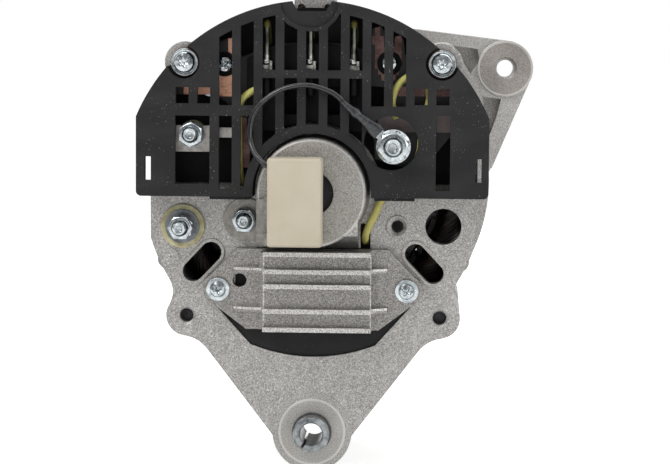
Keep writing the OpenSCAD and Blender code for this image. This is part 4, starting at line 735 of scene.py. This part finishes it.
def threadedRod(stud, pitch, crater):
    # rod whose radius falls by the thread's depth between turns; its rear end has a chamfer and a dimple
    columns = 28
    chamfer = 0.75
    depth = pitch * 0.55
    rear, front, radius = stud["rear"], stud["front"], stud["radius"]
    dimple = radius * crater
    y = np.arange(rear + chamfer, front, pitch / 7.0)
    fade = np.clip((y - rear - 0.7) / 0.8, 0.0, 1.0)[:, None]
    turns = radius - depth * threadDepth(y, pitch, columns) * fade
    rows = [(0.0, rear + 0.5), (dimple * 0.8, rear + 0.42), (dimple, rear + 0.04)]
    rows += [(radius - chamfer, rear), (radius - 0.28, rear + 0.3)]
    rows += list(zip(turns, y))
    rows += [(radius - depth, front), (0.0, front)]
    return lathe(stud["spot"], rows, columns)


def screw(spot, turn, kind):
    # domed head with a lobed recess towards the rear, on a plain shank
    columns = 72
    under, head, height, recess = (kind[k] for k in ("under", "head", "height", "recess"))
    angle = np.arange(columns) * 2.0 * math.pi / columns
    star = recess * (1.0 + kind["swing"] * np.cos(kind["lobes"] * angle))
    inner = recess * 1.5
    top = under - height
    rows = [(0.0, top + 1.5), (star * 0.55, top + 1.35), (star * 0.9, top + 0.95)]
    rows += [(star, top + 0.12), (star * 1.05, top)]
    for k in np.linspace(0.0, 1.0, 9)[1:]:
        if k < 0.4:
            radius = star + (head - star) * k * 0.9
        else:
            radius = inner + (head * 0.995 - inner) * k
        rows.append((radius, top + height * 0.82 * k**3.2))
    if "collar" in kind:
        collar = kind["collar"]
        rows += [(head, under - 0.55), (collar - 0.15, under - 0.5), (collar, under - 0.35), (collar, under)]
    else:
        rows.append((head, under))
    shank = kind["shank"]
    end = under + kind["length"]
    rows += [(shank, under), (shank, end - 0.4), (shank - 0.4, end), (0.0, end)]
    return lathe(spot, rows, columns, turn)


# Fasteners and studs

# spots are x, z and turn in degrees; collar is the radius of a washer in one piece with the screw, lobes and
# swing give the recess its shape, and seat is the section of a ring under the head
screwKinds = {
    "coverScrew": {
        "spots": [(46.457, 46.457, 12.0), (-46.457, 46.457, 40.0)],
        "node": "cover_screws",
        "under": -13.7,
        "head": 4.0,
        "height": 3.0,
        "collar": 5.0,
        "shank": 2.5,
        "length": 9.0,
        "recess": 1.75,
        "lobes": 6,
        "swing": 0.17,
    },
    "regulatorScrew": {
        "spots": [(-34.4, -36.1, 15.0), (34.4, -36.1, 60.0)],
        "node": "regulator_screws",
        "under": -10.6,
        "head": 3.0,
        "height": 2.4,
        "collar": 4.3,
        "shank": 2.0,
        "length": 11.0,
        "recess": 1.25,
        "lobes": 4,
        "swing": 0.42,
    },
    "rectifierScrew": {
        "spots": [(-32.0, 45.8, 30.0), (27.4, 46.6, 10.0)],
        "node": "rectifier_screws",
        "under": -11.9,
        "head": 3.0,
        "height": 2.2,
        "shank": 2.0,
        "length": 12.0,
        "recess": 1.3,
        "lobes": 4,
        "swing": 0.42,
        "seat": [(2.1, -11.35), (4.4, -11.35), (4.4, -11.85), (2.1, -11.85), (2.1, -11.35)],
    },
}


def makeScrews():
    for name, kind in screwKinds.items():
        for i, (x, z, turn) in enumerate(kind["spots"]):
            shape = screw((x, z), turn, kind)
            gridPiece(f"{name}{i}", [shape], zincBright, "housing", [kind["node"]])
            if "seat" in kind:
                ring = lathe((x, z), kind["seat"])
                gridPiece(f"screwSeat{i}", [ring], finishes["diode_body"], "housing")


# spots are x and z; rear and front are y, and turn is in degrees
terminalStuds = {
    "exciter": {"spot": (-43.8, 20.6), "rear": -22.2, "front": -1.2, "radius": 2.5},
    "phaseTap": {"spot": (-47.8, -13.4), "rear": -19.8, "front": -1.2, "radius": 2.5},
    "ground": {"spot": (-24.9, -10.9), "rear": -15.2, "front": -1.2, "radius": 2.5},
}
terminalNuts = {
    "exciterNut": {"spot": (-43.8, 20.6), "rear": -19.2, "front": -15.2, "turn": 88.0},
    "phaseTapNut": {"spot": (-47.8, -13.4), "rear": -12.6, "front": -8.6, "turn": 20.0},
    "phaseTapLockNut": {"spot": (-47.8, -13.4), "rear": -16.7, "front": -12.7, "turn": 0.0},
    "groundNut": {"spot": (-24.9, -10.9), "rear": -12.2, "front": -8.2, "turn": -4.0},
}
outputStud = {"spot": (29.3, 17.0), "rear": -29.8, "front": -7.4, "radius": 3.0}
outputCollar = [(0.0, -9.8), (4.6, -9.8), (4.8, -9.6), (4.8, -6.7), (0.0, -6.7)]  # radius and y
outputNuts = [
    {"rear": -17.3, "front": -11.3, "turn": 20.0},
    {"rear": -26.3, "front": -21.3, "turn": 12.0, "flange": 6.2},
]
smallThread = {"pitch": 0.8, "crater": 0.45, "flats": 8.0, "bore": 2.5}
outputThread = {"pitch": 1.0, "crater": 0.55, "flats": 10.0, "bore": 3.0}


def makeTerminals(small, output):
    for name, stud in terminalStuds.items():
        shape = threadedRod(stud, small["pitch"], small["crater"])
        gridPiece(name + "Stud", [shape], zincBright, "housing", ["terminal_studs"])
    for name, form in terminalNuts.items():
        shape = nut(form["spot"], form, small["flats"], small["bore"])
        gridPiece(name, [shape], zincBright, "housing", ["terminal_nuts"])
    rod = threadedRod(outputStud, output["pitch"], output["crater"])
    collar = lathe(outputStud["spot"], outputCollar)
    gridPiece("outputStud", [rod, collar], zincBright, "housing", ["output_stud"])
    shapes = [nut(outputStud["spot"], form, output["flats"], output["bore"]) for form in outputNuts]
    gridPiece("outputNuts", shapes, zincBright, "housing", ["output_nut"])


makeScrews()
makeTerminals(smallThread, outputThread)
print("fasteners made")

# Leads

leadTop = -15.5  # y of the phase leads where they lie over the cover's top, in mm
# points in x, y and z, with z from the shaft's axis
leadRoutes = {
    "tapLead": [
        (-18.5, leadTop, 37.2), (-22, leadTop, 36.1), (-25.6, leadTop + 0.5, 33), (-26.8, -14.6, 28),
        (-26.8, -13.4, 20), (-26.7, -13.1, 12), (-26.4, -12.5, 7.6), (-26, -9.8, 4),
        (-25.8, -4.8, 3), (-25.8, 0.3, 2.8), (-28, 3.3, 1), (-34, 4.3, -4),
        (-42, 4.3, -9.5), (-46.6, 3.0, -12.6), (-47.8, 0.3, -13.4),
    ],
    "loopLead": [
        (37.4, -14, 42.9), (33.6, -14.8, 41.5), (30.5, -15.1, 38.6), (28.9, -15.1, 34.6),
        (28.8, -14.6, 31), (30, -13.2, 27),
    ],
    "groundLead": [
        (41.5, -13.8, 37.4), (41.9, -14.2, 34), (40.6, -14.4, 28), (39.4, -14.6, 22),
        (38.6, -14.4, 15), (36, -13.4, 8), (31, -11.8, 2.8), (26.6, -9.8, -0.4),
        (24.4, -8.4, -3.8), (22.6, -8.2, -8.2), (20.4, -7.6, -12.7), (19.2, -6.2, -16.2),
        (19.1, -3.4, -18.4), (19.1, 0.8, -19.3),
    ],
    "capacitorLead": [
        (-15.3, -26.3, 9.8), (-16.8, -26.1, 10.8), (-20.4, -24.3, 14.6), (-22.1, -22.3, 19.5),
        (-22, -21.5, 24.7), (-20.4, -21.3, 29.1), (-16.3, -21.3, 33.7), (-10.9, -21.3, 37),
        (-5.4, -21.3, 38.4), (-0.5, -21.3, 38.5), (4.5, -21.3, 37.2), (8.1, -21.3, 35.5), (10.7, -21.3, 33.3),
    ],
    "sleeve": [
        (10.9, -21.3, 33.1), (13.2, -21.3, 31), (15.8, -21.3, 28.9), (18.4, -21.3, 26.6),
        (20.6, -21.3, 24.8), (22.4, -21.2, 23.2), (24.2, -21.1, 21.6),
    ],
}
phaseTabs = [(-16.5, 44.0), (-0.8, 44.0), (14.8, 44.0)]  # x and z
leadSize = {"woven": 1.3, "capacitor": 0.92, "bare": 1.1}  # half thickness in mm
leadShift = -0.1  # x of a phase lead from its tab's
phaseBend = {"ring": 55.9, "top": 60.8, "start": 16.4}  # radius inside, height over the rim and first y


def phaseRoute(x, bend):
    # out of the end turns through the casting, over the rim and down in front of the cover
    z = math.sqrt(bend["ring"] ** 2 - x * x)
    top = bend["top"]
    return [
        (x, bend["start"], z), (x, 8, z), (x, 0, z), (x, rearFace, z + 0.1), (x, -9.8, (z + top) / 2),
        (x, -12.4, top - 0.4), (x, leadTop + 0.5, top), (x, leadTop, top - 0.8), (x, leadTop, top - 1.6),
    ]


def makeLeads():
    woven = leadSize["woven"]
    yellow = finishes["yellow_sleeve"]
    routes = [smoothRoute(phaseRoute(x + leadShift, phaseBend), 8) for x, z in phaseTabs]
    shapes = [sweep(route, (1.0, 0.05, 0.3), woven) for route in routes]
    gridPiece("phaseLeads", shapes, phaseSleeveShaded, "housing", ["phase_leads"])
    routes = [smoothRoute(leadRoutes[name], 8) for name in ("tapLead", "loopLead")]
    shapes = [sweep(route, (0.6, 1.0, 0.3), woven) for route in routes]
    gridPiece("tapLeads", shapes, yellow, "housing", ["phase_leads"])
    shape = sweep(smoothRoute(leadRoutes["groundLead"], 8), (0.8, 1.0, 0.1), woven)
    gridPiece("groundLead", [shape], yellow, "housing", ["ground_lead"])
    route = smoothRoute(leadRoutes["capacitorLead"], 10)
    shape = sweep(route, (0.1, 1.0, 0.2), leadSize["capacitor"], columns=20)
    gridPiece("capacitorLead", [shape], finishes["black_cable"], "housing", ["capacitor_lead"])


def makeSleeve():
    # grips the lead at one end, bulges over the crimp and lies wide and flat on the ring terminal
    route = smoothRoute(leadRoutes["sleeve"], 12)
    t = np.linspace(0.0, 1.0, len(route))
    crimp = np.exp(-((t - 0.33) / 0.05) ** 2)
    grown = np.clip(t / 0.25, 0, 1)
    flat = np.clip((t - 0.4) / 0.45, 0, 1)
    wide = 0.95 + 0.45 * grown + 0.5 * crimp + 1.1 * flat**1.3
    thick = 0.95 + 0.4 * grown + 0.25 * crimp - 0.55 * flat
    shape = sweep(route, alongShaft, wide, thick, 28, 2.6)
    gridPiece("leadSleeve", [shape], sleeveCase, "housing", ["lead_sleeve"])


alongShaft = (0.0, 1.0, 0.0)
sleeveCase = cableFinish("sleeveCase", tone(38, 39, 42), 0.16)
# the yellow woven sleeving again, darkened to olive as painted shade
phaseSleeveShaded = sleeveFinish("phaseSleeveShaded", tone(112, 108, 50), tone(40, 38, 18))
makeLeads()
makeSleeve()
print("leads made")

# Phase tabs: folded tinned strip, solder drop and bare wire up to each sleeve


def solderFinish():
    # dull tin, darker and streaked up the wires
    made = Finish("solderFinish", {"Metallic": 1.0})
    z = made.axes()[2]
    cloud = made.noise(1.8)
    shade = made.ramp(cloud, [(0.36, tone(112, 112, 108)), (0.62, tone(206, 206, 202))])
    streak = made.noise(2.0, 1.0, (1.0, 1.0, 3.0))
    upperTone = made.ramp(streak, [(0.4, tone(64, 64, 58)), (0.62, tone(138, 138, 130))])
    made.feed("Base Color", made.mix(made.soft(z, 48.8, 50.4), shade, upperTone))
    made.feed("Roughness", 0.26 + cloud * 0.2)
    made.relief(cloud, 0.02, 0.0, 0.3)
    return made.material


solder = solderFinish()
# y of the plate, heights above the tab's spot, and the height where the wires end
tabForm = {"plate": -14.1, "foot": -0.5, "head": 3.2, "drop": 3.0, "wireBend": 8.0, "wireEnd": 59.3}


def solderDrop(x, y, z):
    # pear shape, flatter along the shaft and slightly three-sided round it
    columns = 24
    angle = np.linspace(0.0, math.pi, 15)[:, None]
    turn = np.arange(columns) * 2.0 * math.pi / columns
    radius = 1.75 * np.sin(angle) * (1.0 + 0.12 * np.cos(angle))
    points = np.empty((len(angle), columns, 3))
    points[:, :, 0] = x + radius * np.cos(turn) * (1.0 + 0.06 * np.sin(3 * turn))
    points[:, :, 1] = y + radius * 0.8 * np.sin(turn)
    points[:, :, 2] = shaftHeight + z - np.cos(angle) * 1.35
    return points * mm, True, False


def makeTabs(form):
    plate = form["plate"]
    for i, (x, z) in enumerate(phaseTabs):
        foot = z + form["foot"]
        head = z + form["head"]
        drop = z + form["drop"]
        strip = [(x, plate - 0.42, foot), (x, plate - 0.42, head)]
        ear = [(x + 1.5, plate - 1.6, foot), (x + 1.5, plate - 1.6, head)]
        heights = (drop, z + form["wireBend"], form["wireEnd"])
        wire = [(x + leadShift, leadTop, height) for height in heights]
        shapes = [
            sweep(strip, alongShaft, 2.05, 0.4, 16, 7.0),
            sweep(ear, alongShaft, 0.55, 0.8, 16, 6.0),
            sweep(wire, alongShaft, leadSize["bare"]),
            solderDrop(x - 0.3, plate - 1.4, drop),
        ]
        gridPiece(f"phaseTab{i}", shapes, solder, "housing", ["diode_leads"])


makeTabs(tabForm)

# Capacitor case: rounded rectangle carried through the case's depth, drawn in at both ends

case = {"x": (-15.0, 4.4), "z": (-18.4, 13.3), "y": (-34.8, -24.0), "round": 1.1}  # z from the shaft's axis


def makeCase(values):
    (x0, x1), (z0, z1), (y0, y1), r = values["x"], values["z"], values["y"], values["round"]
    quarter = np.linspace(0.0, math.pi / 2, 7)
    corners = [(x1 - r, z1 - r, 0.0), (x0 + r, z1 - r, 0.5), (x0 + r, z0 + r, 1.0), (x1 - r, z0 + r, 1.5)]
    sides = []
    for cx, cz, q in corners:
        turn = quarter + q * math.pi
        sides.append(np.stack([np.full(7, cx), np.full(7, cz), np.cos(turn), np.sin(turn)], -1))
    out = np.concatenate(sides)
    pull = np.concatenate([np.sin(quarter), np.ones(3), np.sin(quarter)[::-1]])
    rear = y0 + r * (1 - np.cos(quarter))
    front = y1 - r * (1 - np.cos(quarter[::-1]))
    depth = np.concatenate([rear, np.linspace(y0 + r + 1, y1 - r - 1, 3), front])
    points = np.empty((len(depth), len(out), 3))
    points[:, :, 0] = out[None, :, 0] + r * pull[:, None] * out[None, :, 2]
    points[:, :, 1] = depth[:, None]
    points[:, :, 2] = shaftHeight + out[None, :, 1] + r * pull[:, None] * out[None, :, 3]
    beige = finishes["beige_plastic"]
    shape = (points * mm, True, True)
    gridPiece("capacitorCase", [shape], beige, "housing", ["capacitor_body"])


makeCase(case)

# Rectifier base: a thin black moulding between the casting and the plates, inside the cover's outline; it is
# partly a real part and partly a dark sheet put there as painted shade behind the plates

# arch and hub are radii, half its width to one side and low its lower edge above the shaft's axis
base = {"rear": -7.0, "front": -5.9, "arch": 66.4, "half": 57.4, "low": 2.7, "hub": 24.9}


def makeBaseAndShade(values):
    # columns step along x; each column is a strip from the hub's ring, or the low edge, up to the arch
    x = np.linspace(-values["half"], values["half"], 245)
    ring = np.sqrt(np.clip(values["hub"] ** 2 - x**2, 0.0, None))
    low = np.maximum(ring, values["low"])
    high = np.sqrt(values["arch"] ** 2 - x**2)
    rear, front = values["rear"], values["front"]
    section = [(low, front), (high, front), (high, rear), (low, rear), (low, front)]
    points = np.stack([np.stack([x, np.full_like(x, y), z + shaftHeight], -1) for z, y in section])
    shape = (points * mm, False, False)
    gridPiece("rectifierBaseAndShade", [shape], finishes["diode_body"], "housing")


makeBaseAndShade(base)

# End turns: wires that run slanting over the coil's rounded section, from slot to slot

# lengths and radii in mm and the span in degrees; rear and front are y where the two sets start
endTurns = {
    "inner": 47.2,
    "outer": 57.0,
    "length": 13.0,
    "rounding": 3.5,
    "wires": 144,
    "wire": 0.68,
    "span": 50.0,
    "steps": 26,
    "rear": 29.7,
    "front": 56.3,
}


def sectionPath(values):
    # inner side, rounded end and outer side of the coil's section, as radius and height
    inner, outer, length, rounding = (values[k] for k in ("inner", "outer", "length", "rounding"))
    quarter = rounding * math.pi / 2
    width = outer - inner
    lengths = np.array([length - rounding, quarter, width - 2 * rounding, quarter, length - rounding])
    edges = np.concatenate([[0.0], np.cumsum(lengths)])
    s = np.linspace(0.0, 1.0, values["steps"]) * edges[-1]
    turn = (s - edges[1]) / rounding
    back = (s - edges[3]) / rounding
    cases = [s < edges[1], s < edges[2], s < edges[3], s < edges[4], s >= edges[4]]
    firstBend = inner + rounding * (1 - np.cos(turn))
    across = inner + rounding + s - edges[2]
    radius = np.select(cases, [inner, firstBend, across, outer - rounding + rounding * np.sin(back), outer])
    rising = length - rounding + rounding * np.sin(turn)
    falling = length - rounding + rounding * np.cos(back)
    height = np.select(cases, [s, rising, length, falling, edges[5] - s])
    return radius, height


def makeEndTurns(values):
    radius, height = sectionPath(values)
    t = np.linspace(0.0, 1.0, values["steps"])
    for name, root, sign in (("rearEndTurns", values["rear"], -1.0), ("frontEndTurns", values["front"], 1.0)):
        shapes = []
        for i in range(values["wires"]):
            sway = 0.35 * math.sin(i * 2.4)
            angle = np.radians(i * 360.0 / values["wires"] + values["span"] * t + sway * np.sin(math.pi * t))
            route = np.stack([radius * np.cos(angle), root + sign * height, radius * np.sin(angle)], -1)
            shapes.append(wireShape(route, radius, height, values, angle, sign))
        gridPiece(name, shapes, finishes["copper_wire"], "housing")


def wireShape(route, radius, height, values, angle, sign):
    # six-sided wire whose section is set off from the route along its own normals
    off = radius - (values["inner"] + values["outer"]) / 2
    rise = sign * (height - values["length"] / 2)
    across, up = routeFrame(route, np.stack([off * np.cos(angle), rise, off * np.sin(angle)], -1))
    turn = np.arange(6) * math.pi / 3
    section = np.cos(turn)[None, :, None] * across[:, None, :] + np.sin(turn)[None, :, None] * up[:, None, :]
    points = route[:, None, :] + values["wire"] * 0.5 * section
    points[:, :, 2] += shaftHeight
    return points * mm, True, True


makeEndTurns(endTurns)
print("windings made")

# Pulley end of the shaft: a thread just proud of the plain end

shaftEnd = {"rear": 127.6, "front": 130.55, "radius": 7.02, "pitch": 1.25}


def makeShaftEnd(values):
    columns = 48
    rear, front, radius = values["rear"], values["front"], values["radius"]
    y = np.arange(rear, front - 0.6, values["pitch"] / 8.0)
    turns = radius + 0.12 - 0.1 * threadDepth(y, values["pitch"], columns)
    rows = [(0.0, rear)] + list(zip(turns, y))
    rows += [(radius - 0.5, front), (2.4, front), (1.6, front - 1.6), (0.0, front - 1.7)]
    shape = lathe((0.0, 0.0), rows, columns)
    gridPiece("shaftThread", [shape], finishes["ground_steel"], "rotor")


makeShaftEnd(shaftEnd)
print("shaft end made")
